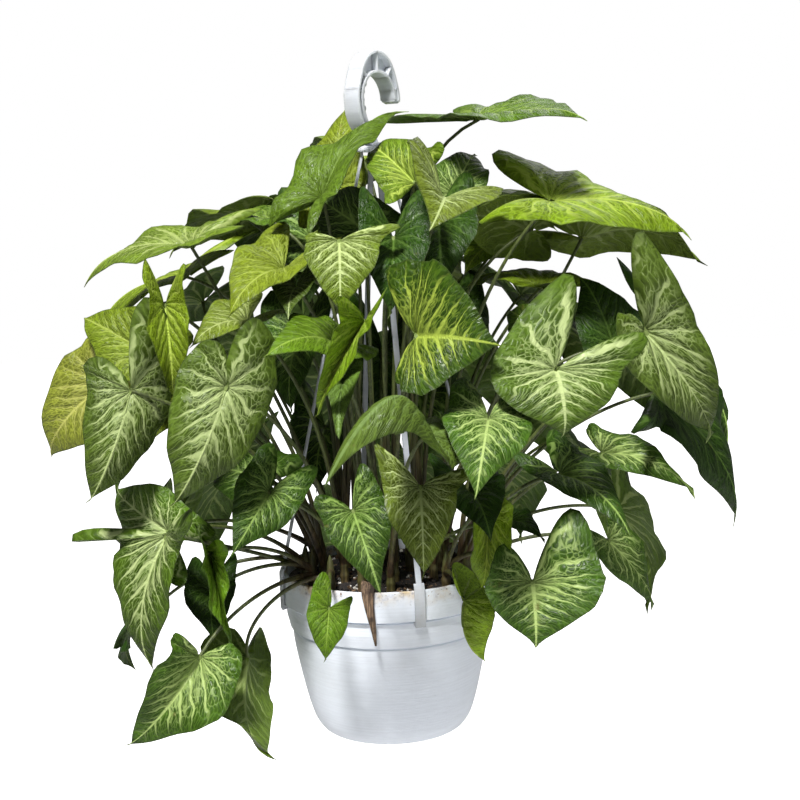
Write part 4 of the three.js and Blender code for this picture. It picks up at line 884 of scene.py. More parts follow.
def vein_group(name):
    """Arrowhead veining. Phase counts the side veins, Side is the distance from the midrib and
    Along the place along it, both as shares of the blade's length; Share runs from 0 at the
    stalk to 1 at the margin. Cream lies along the midrib, in strokes along the side veins and in
    a net of long cells between them; it thins out outwards and leaves the margin green."""
    group, w, i, out = new_group(
        name, dict.fromkeys(("Phase", "Side", "Along", "Share", "Cream", "Seed"), "Float"),
        dict.fromkeys(("Cream mask", "Vein line", "Green shade", "Relief", "Margin"), "Float"))

    def placed(x, y):
        return w.filled("CombineXYZ", X=x, Y=y, Z=i["Seed"])["Vector"]

    def about(value):
        """A noise's value, moved to lie about 0."""
        return w.math("SUBTRACT", value, 0.5)

    on_blade = placed(i["Along"], i["Side"])
    broad = w.noise(on_blade, 5.0, 2.0)
    fine = w.noise(on_blade, 60.0, 3.0, 0.6)
    phase = w.times_plus(about(w.noise(on_blade, 5.0, 2.0, 0.5)), 1.1, i["Phase"])
    streak = w.noise(placed(w.times(phase, 3.4), w.times(i["Side"], 11.0)), 1.0, 3.0, 0.62, 0.6)
    # distance to the nearest side vein, 0 on it and 1 half way to the next
    gap = w.times(w.math("ABSOLUTE", about(w.math("FRACT", w.math("ADD", phase, 40.5)))), 2.0)
    # the net between them: long cells, drawn out along the side veins
    net = w.fill(w.node("TexVoronoi", feature="DISTANCE_TO_EDGE"), {"Scale": 1.0, "Vector": placed(
        w.times_plus(about(fine), 0.4, w.times(phase, 4.4)),
        w.times_plus(about(broad), 0.8, w.times(i["Side"], 22.0)))})["Distance"]
    inner = w.fade(w.times_plus(about(broad), 0.7, i["Share"]), 0.10, 0.98, 1.0, 0.0)
    by_rib = w.fade(i["Side"], 0.0, 0.09, 1.0, 0.0)
    reach = w.fade(w.times_plus(about(streak), 0.3, i["Share"]), 0.66, 0.97, 1.0, 0.12)
    # side veins: broad strokes near the midrib, drawn out to thin lines at the margin
    width = w.times(w.times_plus(inner, 0.20, 0.085), w.fade(streak, 0.3, 0.7, 0.45, 1.5))
    line = w.times(w.fade(w.math("DIVIDE", gap, width), 0.55, 1.7, 1.0, 0.0), reach)
    cells = w.times(w.fade(net, 0.02, w.times_plus(inner, 0.10, 0.09), 1.0, 0.0), reach)
    cells = w.times(cells, w.fade(w.times_plus(inner, 0.25, streak), 0.42, 0.74, 0.10, 0.62))
    flush = w.math("ADD", w.times_plus(by_rib, 0.10, w.times(inner, 0.22)), streak)
    flush = w.times(w.fade(flush, 0.62, 0.85), 0.62)
    rib_width = w.fade(i["Along"], -0.1, 1.0, 0.019, 0.006)
    midrib = w.times(w.fade(w.math("DIVIDE", i["Side"], rib_width), 0.5, 1.4, 1.0, 0.0),
                     w.fade(i["Along"], -0.03, 0.0))
    drawn = w.times(w.larger(w.larger(line, cells), flush), w.times_plus(i["Cream"], 0.80, 0.10))
    w.link(w.math("MAXIMUM", drawn, w.times(midrib, w.times_plus(i["Cream"], 0.5, 0.45)),
                  clamp=True), out["Cream mask"])
    w.link(w.larger(line, midrib), out["Vein line"])
    w.link(w.times(w.fade(broad, 0.3, 0.75, 0.74, 1.12), w.times(
        w.fade(fine, 0.3, 0.7, 0.84, 1.16), w.fade(net, 0.0, 0.32, 1.18, 0.74))),
        out["Green shade"])
    w.link(w.fade(i["Share"], 0.965, 0.995), out["Margin"])
    puff = w.times(w.fade(gap, 0.0, 0.9), w.fade(i["Side"], 0.0, 0.05))
    w.link(w.times_plus(w.fade(net, 0.0, 0.3), 0.4, puff), out["Relief"])
    return group


def soiling_group(name):
    """Dirt on moulded plastic: a cloudy film, small specks and fine level scratches."""
    group, w, i, out = new_group(
        name, {"Place": "Vector", "Clean": "Color", "Dirt": "Color", "Amount": "Float"},
        {"Colour": "Color", "Roughness": "Float", "Relief": "Float"})
    cloud = w.noise(i["Place"], 22.0, 5.0, 0.62)
    specks = w.fade(w.noise(i["Place"], 420.0, 2.0), 0.66, 0.74)
    scratch = w.noise(w.scaled(i["Place"], (14.0, 14.0, 620.0)), 1.0, 3.0, 0.6)
    film = w.times(w.fade(cloud, 0.42, 0.8), i["Amount"])
    share = w.math("ADD", film, w.times(specks, w.times(i["Amount"], 0.6)), clamp=True)
    clean = w.mix(1.0, i["Clean"], w.fade(scratch, 0.35, 0.65, 0.965, 1.01), "MULTIPLY")
    w.link(w.mix(share, clean, i["Dirt"]), out["Colour"])
    w.link(w.math("ADD", w.fade(cloud, 0.3, 0.8, 0.34, 0.52), w.times(share, 0.3), clamp=True),
           out["Roughness"])
    w.link(w.math("ADD", w.times(scratch, 0.7), w.times(cloud, 0.3)), out["Relief"])
    return group


GROUP_MAKERS = {"Leaf veins": vein_group, "Soiling": soiling_group}


def blade_material(name, gloss):
    """Waxy blade: the leaf's own green and cream, mixed by the veining; duller and greyer
    underneath, with standing veins, the underside's paler green being partly painted light for
    light shining through the blade; a thin darker margin."""
    material, w, shader, place = new_material(name)
    vein = w.attribute("vein")
    phase, side, along = w.parts(vein["Vector"])
    amount, below, seed = w.parts(w.attribute("kind")["Vector"])
    veins = use_group(w, "Leaf veins", Phase=phase, Side=side, Along=along,
                      Share=vein["Alpha"], Cream=amount, Seed=seed)
    shaded = w.mix(1.0, w.attribute("green")["Color"], veins["Green shade"], "MULTIPLY")
    upper = w.mix(veins["Cream mask"], shaded, w.attribute("cream")["Color"])
    dark_margin, brown = (0.035, 0.055, 0.012, 1), (0.16, 0.12, 0.035, 1)
    upper = w.mix(w.times(veins["Margin"], 0.55), upper, dark_margin)
    upper = w.mix(w.fade(w.noise(place, 55.0, 4.0, 0.6), 0.68, 0.76, 0.0, 0.4), upper, brown)
    # the underside green is partly the underside's own paler colour and partly painted light,
    # standing in for light shining through the blade
    underside_green_and_painted_light, pale_vein = (0.10, 0.155, 0.034, 1), (0.27, 0.34, 0.11, 1)
    under = w.mix(w.times(veins["Vein line"], 0.6), w.mix(0.35, shaded, underside_green_and_painted_light), pale_vein)
    w.link(w.mix(below, upper, under), shader["Base Color"])
    wax = w.fade(w.noise(place, 90.0, 3.0), 0.3, 0.7, gloss - 0.06, gloss + 0.12)
    rough = w.times_plus(veins["Cream mask"], 0.05, w.times_plus(below, 0.2, wax))
    w.link(rough, shader["Roughness"])
    shader["Specular IOR Level"].default_value = 0.19
    height = w.times_plus(w.noise(place, 900.0, 2.0), 0.1, veins["Relief"])
    w.link(w.bump(height, 0.7, 0.0013), shader["Normal"])
    return material


def stalk_material():
    """Leaf stalks and stems: green, browner towards the foot, streaked along their length. Their
    colours are kept dark, partly their own and partly painted shade for the shade inside the plant.
    """
    material, w, shader, place = new_material("stalk_green")
    way_up = w.parts(w.attribute("kind")["Vector"])[0]
    streak = w.noise(w.scaled(place, (420.0, 420.0, 30.0)), 1.0, 3.0, 0.6)
    patch = w.noise(place, 38.0, 3.0)
    # dark greens and browns: partly the stalks' own colours, partly painted shade for the shade
    # inside the plant
    green = w.mix(w.fade(streak, 0.3, 0.7), (0.042, 0.058, 0.013, 1), (0.11, 0.14, 0.034, 1))
    brown = w.mix(w.fade(streak, 0.35, 0.7), (0.038, 0.022, 0.010, 1), (0.11, 0.070, 0.030, 1))
    share = w.fade(w.times_plus(patch, 0.6, w.math("SUBTRACT", 1.0, way_up)), 0.75, 1.35)
    w.link(w.mix(share, green, brown), shader["Base Color"])
    w.link(w.fade(patch, 0.3, 0.7, 0.38, 0.6), shader["Roughness"])
    w.link(w.bump(streak, 0.5, 0.0004), shader["Normal"])
    return material


def plastic_material(name, colour, amount, soiled_rim=False, glow=0.0):
    """White moulded plastic, soiled as told; a soiled rim is tan and crusted near the top. Light
    soaks through thin walls by the share `glow`."""
    material, w, shader, place = new_material(name)
    shader["Subsurface Weight"].default_value = glow
    shader["Subsurface Radius"].default_value = (1.0, 1.0, 1.0)
    shader["Subsurface Scale"].default_value = 12 * MM
    dirt = (0.42, 0.36, 0.27, 1)
    if soiled_rim:
        top = (POT_HEIGHT - BEARING_Z) * MM
        rough_height = w.times_plus(w.noise(place, 30.0, 4.0), 0.030, w.parts(place)[2])
        near_top = w.fade(rough_height, top, top + 18 * MM)
        amount = w.times_plus(near_top, 3.2 * amount, 0.05)
        crust = w.fade(w.noise(place, 210.0, 3.0, 0.65), 0.48, 0.6)
        dirt = w.mix(crust, (0.60, 0.48, 0.31, 1), (0.20, 0.115, 0.055, 1))
    soiled = use_group(w, "Soiling", Place=place, Clean=(*colour, 1), Dirt=dirt, Amount=amount)
    w.link(soiled["Colour"], shader["Base Color"])
    w.link(soiled["Roughness"], shader["Roughness"])
    w.link(w.bump(soiled["Relief"], 0.2, 0.0004), shader["Normal"])
    return material


def soil_material(colour):
    """Damp potting mix: near black with brown fibres and crumbs. The near black is partly the mix's
    own colour and partly painted shade, for the shade under the leaves.
    """
    material, w, shader, place = new_material("potting_mix")
    lump = w.noise(place, 130.0, 6.0, 0.7)
    fibre = w.noise(w.scaled(place, (900.0, 260.0, 600.0)), 1.0, 2.0)
    dark = w.mix(w.fade(lump, 0.35, 0.7), (*[c * 0.5 for c in colour], 1),
                 (*[c * 2.4 for c in colour], 1))
    w.link(w.mix(w.fade(fibre, 0.62, 0.72, 0.0, 0.8), dark, (0.12, 0.075, 0.038, 1)),
           shader["Base Color"])
    w.link(w.fade(lump, 0.3, 0.7, 0.95, 0.65), shader["Roughness"])
    w.link(w.bump(w.math("ADD", lump, w.times(fibre, 0.4)), 0.9, 0.0016), shader["Normal"])
    return material


def grain_material():
    """White grains of perlite and pale bark bits, told apart by their kind value."""
    material, w, shader, place = new_material("perlite_and_bark", 0.9)
    rough = w.noise(place, 700.0, 3.0)
    tone = w.fade(rough, 0.3, 0.7)
    bark = w.mix(tone, (0.055, 0.032, 0.016, 1), (0.17, 0.105, 0.055, 1))
    white = w.mix(tone, (0.45, 0.42, 0.36, 1), (0.75, 0.73, 0.68, 1))
    w.link(w.mix(w.parts(w.attribute("kind")["Vector"])[0], bark, white), shader["Base Color"])
    w.link(w.bump(rough, 0.6, 0.0006), shader["Normal"])
    return material


def dry_material():
    """Withered sheath: brown and tan, with dark fibres along it."""
    material, w, shader, place = new_material("withered_leaf", 0.85)
    fibre = w.noise(w.scaled(place, (950.0, 300.0, 60.0)), 1.0, 4.0, 0.65)
    tan = w.mix(w.fade(fibre, 0.36, 0.72), (0.045, 0.026, 0.016, 1), (0.33, 0.22, 0.135, 1))
    patch = w.fade(w.noise(place, 70.0, 4.0), 0.42, 0.62)
    w.link(w.mix(patch, tan, (0.030, 0.018, 0.012, 1)), shader["Base Color"])
    w.link(w.bump(fibre, 0.9, 0.0008), shader["Normal"])
    return material


# ------------------------------------------------------------------ blades and stalks
def half_frame(axis, length, ear, side):
    """How one half of a blade lies: its flat direction out from the midrib, and how far its ear
    is turned and stretched from the outline's ear."""
    out = unit(side - axis * (side @ axis))
    x, y = ear @ axis, ear @ out
    turn = math.atan2(y, x) % (2 * math.pi) - EAR_ANGLE
    return out, turn, math.hypot(x, y) / length / EAR_REACH - 1


def half_line(lobe):
    """Half the outline, its ear squeezed to `lobe` of its width across the line from the stalk
    to the ear. The squeeze grows smoothly over the first 0.4 of that line."""
    line = along_line(rounded(HALF_OUTLINE), HALF_COLUMNS)
    ear = unit(np.array(EAR))
    along = line @ ear
    on_axis = along[:, None] * ear
    share = ramp(along, 0.4)
    keep = 1 - (1 - lobe) * share * share * (3 - 2 * share)
    return on_axis + (line - on_axis) * keep[:, None]


def blade_sheet(place):
    """The blade's middle surface, its flat places (along, side) as shares of its length, the
    side and the ring's share of each point, the way it faces, and its length.

    Columns run round the outline from the left notch over the tip to the right notch, rings from
    the stalk outwards. A column's angle about the stalk swings with its ear by the square of its
    share of the ear's angle, and its length stretches by the fourth power; along each column
    the surface rises by arch * 4 t (1 - t) of its length, and by bend * 4 w (1 - w) of the
    blade's, where w is the share of the way to the tip."""
    base, tip, left, right = (np.asarray(place[k], float)
                              for k in ("base", "tip", "left", "right"))
    chord = tip - base
    length = np.linalg.norm(chord)
    axis = chord / length
    ears = (left - base, right - base)
    sides = place["sides"] or ears
    halves = [half_frame(axis, length, ear, np.asarray(side, float))
              for ear, side in zip(ears, sides)]
    up = unit(np.cross(halves[1][0], axis) + np.cross(axis, halves[0][0]))
    half = half_line(place["lobe"])
    line = np.concatenate([half[::-1], half[1:]])
    side = np.where(np.arange(len(line)) < HALF_COLUMNS - 1, 0, 1)
    out, turn, stretch = (np.array([h[k] for h in halves])[side] for k in range(3))
    flat = np.arctan2(line[:, 1], line[:, 0])
    pull = np.minimum(flat / EAR_ANGLE, 1) ** 2
    angle = flat + turn * pull
    reach = np.hypot(line[:, 0], line[:, 1]) * (1 + stretch * pull ** 2) * length
    width = (place["wide"] * np.maximum(1 + stretch, 1) ** 0.6) * (1 - pull) + pull
    share = (np.arange(1, RINGS + 1) / RINGS)[None, :]
    along = (reach * np.cos(angle))[:, None] * share
    across = (reach * np.sin(angle) * width)[:, None] * share
    way = np.maximum(along / length, 0)
    lift = (place["arch"] * reach[:, None] * 4 * share * (1 - share)
            + place["bend"] * length * 4 * way * (1 - way))
    points = (base + along[..., None] * axis + across[..., None] * out[:, None, :]
              + lift[..., None] * up)
    own = line[:, None, :] * share[..., None]
    flat_places = np.concatenate([[(0.0, 0.0)], own.reshape(-1, 2)])
    signs = np.concatenate([[0.0], np.repeat(2.0 * side - 1, RINGS)])
    shares = np.concatenate([[0.0], np.tile(share[0], len(line))])
    points = np.concatenate([[base], points.reshape(-1, 3)])
    return points, flat_places, signs, shares, up, length


def blade_faces():
    """Triangles round the stalk, quads beyond them, and the loop of points at the edge."""
    columns = 2 * HALF_COLUMNS - 1
    c = np.arange(columns - 1)
    fan = np.stack([np.zeros_like(c), 1 + c * RINGS, 1 + (c + 1) * RINGS], 1)
    quads = grid_quads(columns, RINGS)[:, [0, 3, 2, 1]] + 1
    rim = np.concatenate([
        [0], 1 + (columns - 1) * RINGS + np.arange(RINGS),
        1 + np.arange(columns - 2, -1, -1) * RINGS + RINGS - 1,
        1 + np.arange(RINGS - 2, -1, -1)])
    return fan, quads, rim


FAN, QUADS, RIM = blade_faces()


def vein_phase(along, side, step):
    """Counts the side veins. In front they leave the midrib forwards and curve to the tip:
    phase = (along - side - 0.75 side^2) / step. Behind that line they fan out from the
    stalk into the ear, one for each 28 degrees."""
    front = along - side - 0.75 * side ** 2
    angle = np.degrees(np.arctan2(side, along + 1e-9))
    first = np.degrees(np.arctan2(1.0, 1.0 + 0.75 * side))
    return np.where(front >= 0, front / step, -(angle - first) / 28.0)


def blade_relief(place, along, side, signs, share, phase, looks, rng):
    """Height of the blade's details over its middle surface, as a share of its length: puckers
    between its side veins, a furrow along the midrib, waves by the sine of the angle about the
    stalk, which grow as powers of the ring's share, and the tip's curl. Also the angle."""
    clear = ramp(side, 0.1) * ramp(1 - share, 0.15)
    relief = looks.pucker * (0.5 - 0.5 * np.cos(2 * np.pi * phase)) * clear
    relief -= 0.012 * bell(side, 0.028) * np.clip(1 - along, 0, 1)
    swing = np.arctan2(side, along) * signs
    for turns, strength, power in SURFACE_WAVES:
        relief += (looks.wave * strength * rng.uniform(0.7, 1.3) * share ** power
                   * np.sin(turns * rng.uniform(0.85, 1.2) * swing + rng.uniform(0, 6.3)))
    return relief - place["curl"] * ramp(along - 0.7, 0.3) ** 2, swing


def add_blade(shell, place, looks, seed):
    """One blade as a closed sheet: its middle surface with its relief, the outline made uneven
    by two sines of the angle about the stalk, half the thickness each way, and the midrib
    standing out below."""
    points, flat, signs, share, up, length = blade_sheet(place)
    along, side = flat[:, 0], flat[:, 1]
    triangles = np.concatenate([FAN, split_quads(QUADS)])
    normal = vertex_normals(points, triangles)
    if (normal @ up).sum() < 0:
        raise RuntimeError("a blade faces the wrong way")
    rng = np.random.default_rng(seed)
    phase = vein_phase(along, side, looks.vein_step)
    relief, swing = blade_relief(place, along, side, signs, share, phase, looks, rng)
    points = points + normal * (relief * length)[:, None]
    uneven = sum(strength * np.sin(turns * swing + rng.uniform(0, 6.3))
                 for turns, strength in OUTLINE_WAVES)
    points = points + (points - points[0]) * (uneven * share ** 4)[:, None]
    normal = vertex_normals(points, triangles)
    half = looks.thickness / MM / 2
    ridge = looks.midrib / MM * bell(side, 0.016) * np.clip(1.05 - along, 0, 1)
    points, faces = thick_sheet(points + normal * half, points - normal * (half + ridge)[:, None],
                                [FAN, QUADS], RIM)
    green, cream, amount = LOOKS[place["look"]]
    green = linear(green) * rng.uniform(0.88, 1.1) * rng.uniform(0.95, 1.05, 3)
    vein = np.stack([phase, side, along, share], 1)
    # how much cream, whether a point is on the underside, and the leaf's own number
    amount = amount * rng.uniform(0.85, 1.1)
    kind = np.full((len(points), 3), (amount, 0.0, rng.uniform(0, 40)))
    kind[len(vein):, 1] = 1.0
    shell.add(row(points), faces, 0, vein=np.concatenate([vein, vein]), kind=kind,
              green=(*green, 1.0), cream=(*linear(cream), 1.0))


def stalk_line(start, place):
    """The stalk's centre line, a cubic curve: it leaves the stem steeper than the straight line
    to the blade and turned by the sway, and arrives flatter and turned the other way."""
    base = np.asarray(place["base"], float)
    chord = base - start
    slope = math.atan2(chord[2], math.hypot(chord[0], chord[1]))
    course = math.atan2(chord[1], chord[0])
    reach = np.linalg.norm(chord) / 3
    bow, sway = math.radians(place["bow"]), math.radians(place["sway"])

    def heading(angle, turn):
        return np.array((math.cos(course + turn) * math.cos(angle),
                         math.sin(course + turn) * math.cos(angle), math.sin(angle)))

    first = start + heading(min(slope + bow, math.radians(STEEPEST)), sway) * reach
    second = base - heading(slope - bow, -sway) * reach
    t = np.linspace(0, 1, STALK_STEPS)[:, None]
    return ((1 - t) ** 3 * start + 3 * (1 - t) ** 2 * t * first
            + 3 * (1 - t) * t ** 2 * second + t ** 3 * base)


def add_green_tube(shell, line, radius, sides, greenness, start_across=None):
    """A stalk or stem; its kind value grows along it to `greenness`."""
    points, faces, share = tube(line, radius, sides, start_across)
    shell.add(row(points), faces, 1, kind=share[:, None] * (greenness, 0.0, 0.0))


def add_stalk(shell, start, place):
    """A stalk: a tube that tapers to the blade, wider over its sheathed lowest fifth."""
    t = np.linspace(0, 1, STALK_STEPS)
    radius = PETIOLE_BOTTOM + (PETIOLE_TOP - PETIOLE_BOTTOM) * t + PETIOLE_SHEATH * bell(t, 0.16)
    add_green_tube(shell, stalk_line(start, place), radius, STALK_SIDES, 1.0)


def add_stem(shell, x, y, ground, seed):
    """A short stem in the soil: a tapering post with two swollen joints and a pointed bud, which
    leans a little."""
    bud_z, bud_radius = np.transpose(STEM_BUD)
    z = np.concatenate([np.linspace(-STEM_SUNK, STEM_HEIGHT - 3, STEM_STEPS), STEM_HEIGHT + bud_z])
    radius = STEM_RADIUS * (1 - 0.25 * ramp(z, STEM_HEIGHT))
    for joint in STEM_JOINTS:
        radius = radius + 0.8 * bell(z - joint, 1.6)
    radius[-len(bud_z):] = bud_radius
    rng = np.random.default_rng(seed)
    lean = np.outer(np.clip(z, 0, None) / STEM_HEIGHT, (*rng.uniform(-1, 1, 2), 0))
    line = np.stack([np.full_like(z, x), np.full_like(z, y), ground + z], 1) + lean
    add_green_tube(shell, line, radius, STEM_SIDES, 0.35, start_across=(1, 0, 0))


def soil_height(r):
    """Height of the soil's mound at the radius r: SOIL_MOUND * (1 - (r / SOIL_RADIUS)^2) above
    its edge."""
    return SOIL_TOP + SOIL_MOUND * (1 - (np.asarray(r) / SOIL_RADIUS) ** 2)


def crown_height(angle):
    """Height of the hook's section at an angle round its crown, highest at the top."""
    return HOOK_SIDE + (HOOK_CROWN - HOOK_SIDE) * np.sin(angle) ** 4


# ------------------------------------------------------------------ operators
class ARROWHEAD_OT_pot(bpy.types.Operator):
    """The ribbed pot with its collar and drain holes, turned about Z from its profile"""
    bl_idname = "arrowhead.pot"
    bl_label = "Pot"

    def execute(self, context):
        looks = context.scene.arrowhead_pot
        pitch, depth = looks.rib_pitch / MM, looks.rib_depth / MM

        def ribbed(line, low, high, strength):
            """Each point moved inwards by strength * sin^2 of its height in rib pitches, faded
            in over 5 mm from `low` and out over the last 3 mm below `high`."""
            z = line[:, 1]
            fade = ramp(z - low, 5) * ramp(high - z, 3)
            line[:, 0] -= depth * strength * fade * np.sin(np.pi * z / pitch) ** 2
            return line

        body = ribbed(along_line(rounded(BODY_SIDE[1:]), BODY_ROWS), *BODY_RIBS)
        band = ribbed(along_line(BAND_SIDE, BAND_ROWS), *BAND_RIBS)
        foot = np.add(COLLAR_FOOT, (COLLAR_RADIUS, COLLAR_BOTTOM))
        lip = np.add(COLLAR_LIP, (COLLAR_RADIUS, POT_HEIGHT))
        collar = ribbed(along_line([foot[-1], lip[0]], COLLAR_ROWS), *COLLAR_RIBS)
        # a groove under the band and one under the collar, which hold a thin shadow
        for line, (high, deep) in ((body, BODY_GROOVE), (band, BAND_GROOVE)):
            line[:, 0] -= deep * ramp(line[:, 1] - (line[-1, 1] - high), 0.5)
        # the seen band swells towards the collar, so that the collar's shadow is thin
        band[:, 0] += BAND_STAND + BAND_SWELL * ramp(band[:, 1] - BAND_SIDE[0][1], 12)
        inside = along_line(rounded(INNER_SIDE[::-1], 1), INNER_ROWS)
        profile = np.concatenate([
            FOOT_SIDE, body, band, foot, collar[1:], lip[1:], [COLLAR_INSIDE], inside,
            [(30, POT_FLOOR), (0, POT_FLOOR)]])
        points, faces = lathe(profile, POT_SIDES)
        shell = Shell()
        shell.add(row(points), faces)
        piece = shell.build("ribbed_pot", [plastic_material(
            "pot_white", looks.plastic, looks.grime, soiled_rim=True)], sharp=40)
        cutter = Shell()
        for k in range(DRAIN_COUNT):
            a = math.radians(DRAIN_FIRST + k * 360 / DRAIN_COUNT)
            centre = np.array((DRAIN_RING * math.cos(a), DRAIN_RING * math.sin(a), 0.0))
            ring, sides, _ = tube([centre - (0, 0, 4), centre + (0, 0, 8)], DRAIN_RADIUS,
                                  BAR_SIDES, start_across=(1, 0, 0))
            cutter.add(row(ring), sides)
        holes = cutter.build("drain_holes", [])
        cut = piece.modifiers.new("drain", "BOOLEAN")
        cut.object, cut.operation, cut.solver = holes, "DIFFERENCE", "EXACT"
        applied(piece)
        bpy.data.objects.remove(holes)
        put(piece, "pot_plastic", "pot")
        return {"FINISHED"}


class ARROWHEAD_OT_soil(bpy.types.Operator):
    """Lumpy potting mix with loose crumbs, bark and perlite, filling the pot"""
    bl_idname = "arrowhead.soil"
    bl_label = "Soil"

    def execute(self, context):
        looks = context.scene.arrowhead_soil
        # the surface is a round grid, lifted by noise that fades out at the wall
        r = np.linspace(2, SOIL_RADIUS, SOIL_RINGS)
        side = np.add(INNER_SIDE, SOIL_GAP)[::-1]
        profile = np.concatenate([[(0, soil_height(0))], np.stack([r, soil_height(r)], 1),
                                  side, [(0, side[-1][1])]])
        points, faces = lathe(profile, SOIL_SIDES)
        top = points[:, 2] > SOIL_TOP - 0.01
        fade = ramp(SOIL_RADIUS - np.hypot(points[:, 0], points[:, 1]), 6)
        lumps = looks.roughness / MM * fade * ripple(points * (1, 1, 0), 5, 26.0, 5)
        points[:, 2] += np.where(top, lumps, 0)
        shell = Shell()
        shell.add(row(points), [f[:, ::-1] for f in faces])
        # crumbs: small eight-cornered lumps, each stretched and turned at random
        rng = np.random.default_rng(11)
        for k in range(looks.crumbs):
            pale = k % PERLITE_EVERY == 0
            bark = k % BARK_EVERY == 1
            away = SOIL_RADIUS * 0.97 * math.sqrt(rng.uniform(0.0, 1.0))
            turn = rng.uniform(0, 2 * math.pi)
            size = rng.uniform(0.8, 1.9) if pale or bark else rng.uniform(0.5, 1.3)
            shape = BLOCK_CORNERS * rng.uniform(0.55, 1.2, 3) * rng.uniform(0.75, 1.25, (8, 3))
            shape = shape * size * (BARK_SHAPE if bark else 1)
            spin = np.array(Matrix.Rotation(rng.uniform(0, 6.28), 3, rng.normal(size=3)))
            centre = (away * math.cos(turn), away * math.sin(turn), soil_height(away) + 0.5)
            shell.add(row(shape @ spin.T + centre), [BLOCK_FACES], int(pale or bark),
                      kind=(float(pale), 0.0, 0.0))
        piece = shell.build("potting_soil", [soil_material(looks.mix_and_painted_shade_colour), grain_material()])
        put(piece, "soil", "soil")
        return {"FINISHED"}


class ARROWHEAD_OT_hook(bpy.types.Operator):
    """The moulded hook: an I-shaped section carried along the bent centre line, with ribs across
    its channels, grip teeth inside its long side and a round hub"""
    bl_idname = "arrowhead.hook"
    bl_label = "Hook and hub"

    def execute(self, context):
        looks = context.scene.arrowhead_pot
        frame_piece, details = self.frame(), self.details()
        bevelled(frame_piece, HOOK_EDGE * MM, 3)
        bevelled(details, DETAIL_EDGE * MM)
        both = [frame_piece, details]
        with bpy.context.temp_override(active_object=frame_piece, object=frame_piece,
                                       selected_editable_objects=both, selected_objects=both):
            if bpy.ops.object.join() != {"FINISHED"}:
                raise RuntimeError("the hook's bodies could not be joined")
        frame_piece.name = "moulded_hook"
        mesh = frame_piece.data
        mesh.materials.clear()
        mesh.materials.append(plastic_material(
            "hanger_white", [c * HOOK_SHADE for c in looks.plastic], 0.22, glow=0.7))
        smooth_but_sharp(mesh, 40)
        put(frame_piece, "hanger_plastic", "hanger_hook")
        return {"FINISHED"}

    @staticmethod
    def ways():
        """The hook's own directions: outwards in its plane, upwards, and across its depth."""
        turn = math.radians(HOOK_TURN)
        return np.array([(math.cos(turn), math.sin(turn), 0), (0, 0, 1),
                         (-math.sin(turn), math.cos(turn), 0)])

    def frame(self):
        """The bent frame: the corners of an I-shaped section at each point of its centre line,
        which runs up the shank, half a turn round the crown and down to the end."""
        ways = self.ways()
        angle = np.pi * (1 - np.linspace(0, 1, CROWN_ROWS))
        height = crown_height(angle)
        r = HOOK_INNER_RADIUS + height / 2
        crown = np.stack([r * np.cos(angle), HOOK_CENTRE_Z + r * np.sin(angle), height,
                          np.full_like(r, HOOK_DEPTH)], 1)
        path = np.concatenate([along_line(rounded(HOOK_SHANK), SHANK_ROWS), crown,
                               along_line([crown[-1], HOOK_END], END_ROWS)[1:]])
        step = unit(np.gradient(path[:, :2], axis=0))
        outward = np.stack([-step[:, 1], step[:, 0]], 1)
        h, d = path[:, 2] / 2, path[:, 3] / 2
        f, w = h - HOOK_FLANGE, np.full_like(h, HOOK_WEB / 2)
        section = np.stack([
            np.stack(pair, 1) for pair in (
                (-h, -d), (-f, -d), (-f, -w), (f, -w), (f, -d), (h, -d),
                (h, d), (f, d), (f, w), (-f, w), (-f, d), (-h, d))], 1)
        flat = path[:, None, :2] + section[..., :1] * outward[:, None]
        points = (flat[..., :1] * ways[0] + flat[..., 1:] * ways[1]
                  + section[..., 1:] * ways[2]).reshape(-1, 3)
        count = section.shape[1]
        # each end is two flanges and the web between, cut into four-cornered faces
        caps = np.array([(0, 1, 10, 11), (2, 3, 8, 9), (4, 5, 6, 7), (1, 2, 9, 10), (3, 4, 7, 8)])
        shell = Shell()
        shell.add(row(points), [grid_quads(len(path), count, closed=True)[:, ::-1],
                                caps, caps[:, ::-1] + (len(path) - 1) * count])
        return shell.build("hook_frame", [])

    def details(self):
        """The ribs, the teeth, which are short round bars across the depth, and the hub, each a
        closed body of its own."""
        ways = self.ways()
        centre = np.array((0, 0, HOOK_CENTRE_Z))
        shell = Shell()
        for degrees in HOOK_RIBS:
            a = math.radians(degrees)
            tall = crown_height(a)
            axes = np.array([ways[0] * math.cos(a) + ways[1] * math.sin(a),
                             -ways[0] * math.sin(a) + ways[1] * math.cos(a), ways[2]])
            half = np.array((tall / 2 - 0.6, 0.8, HOOK_DEPTH / 2 - 0.75))
            half[2] *= np.sign(np.linalg.det(axes))
            middle = axes[0] * (HOOK_INNER_RADIUS + tall / 2) + centre
            shell.add(row(middle + (BLOCK_CORNERS * half) @ axes), [BLOCK_FACES])
        reach = ways[2] * (HOOK_DEPTH / 2 - 1.5)
        for degrees in HOOK_TEETH:
            a = math.radians(degrees)
            middle = HOOK_INNER_RADIUS * (ways[0] * math.cos(a) + ways[1] * math.sin(a)) + centre
            points, faces, _ = tube([middle - reach, middle + reach], HOOK_TOOTH, BAR_SIDES,
                                    start_across=ways[0])
            shell.add(row(points), faces)
        points, faces = lathe(
            [(0, HUB_BOTTOM), (HUB_RADIUS - 1, HUB_BOTTOM), (HUB_RADIUS, HUB_BOTTOM + 1),
             (HUB_RADIUS, HUB_TOP - 1), (HUB_RADIUS - 1, HUB_TOP), (0, HUB_TOP)], HUB_SIDES)
        shell.add(row(points), faces)
        return shell.build("hook_details", [])


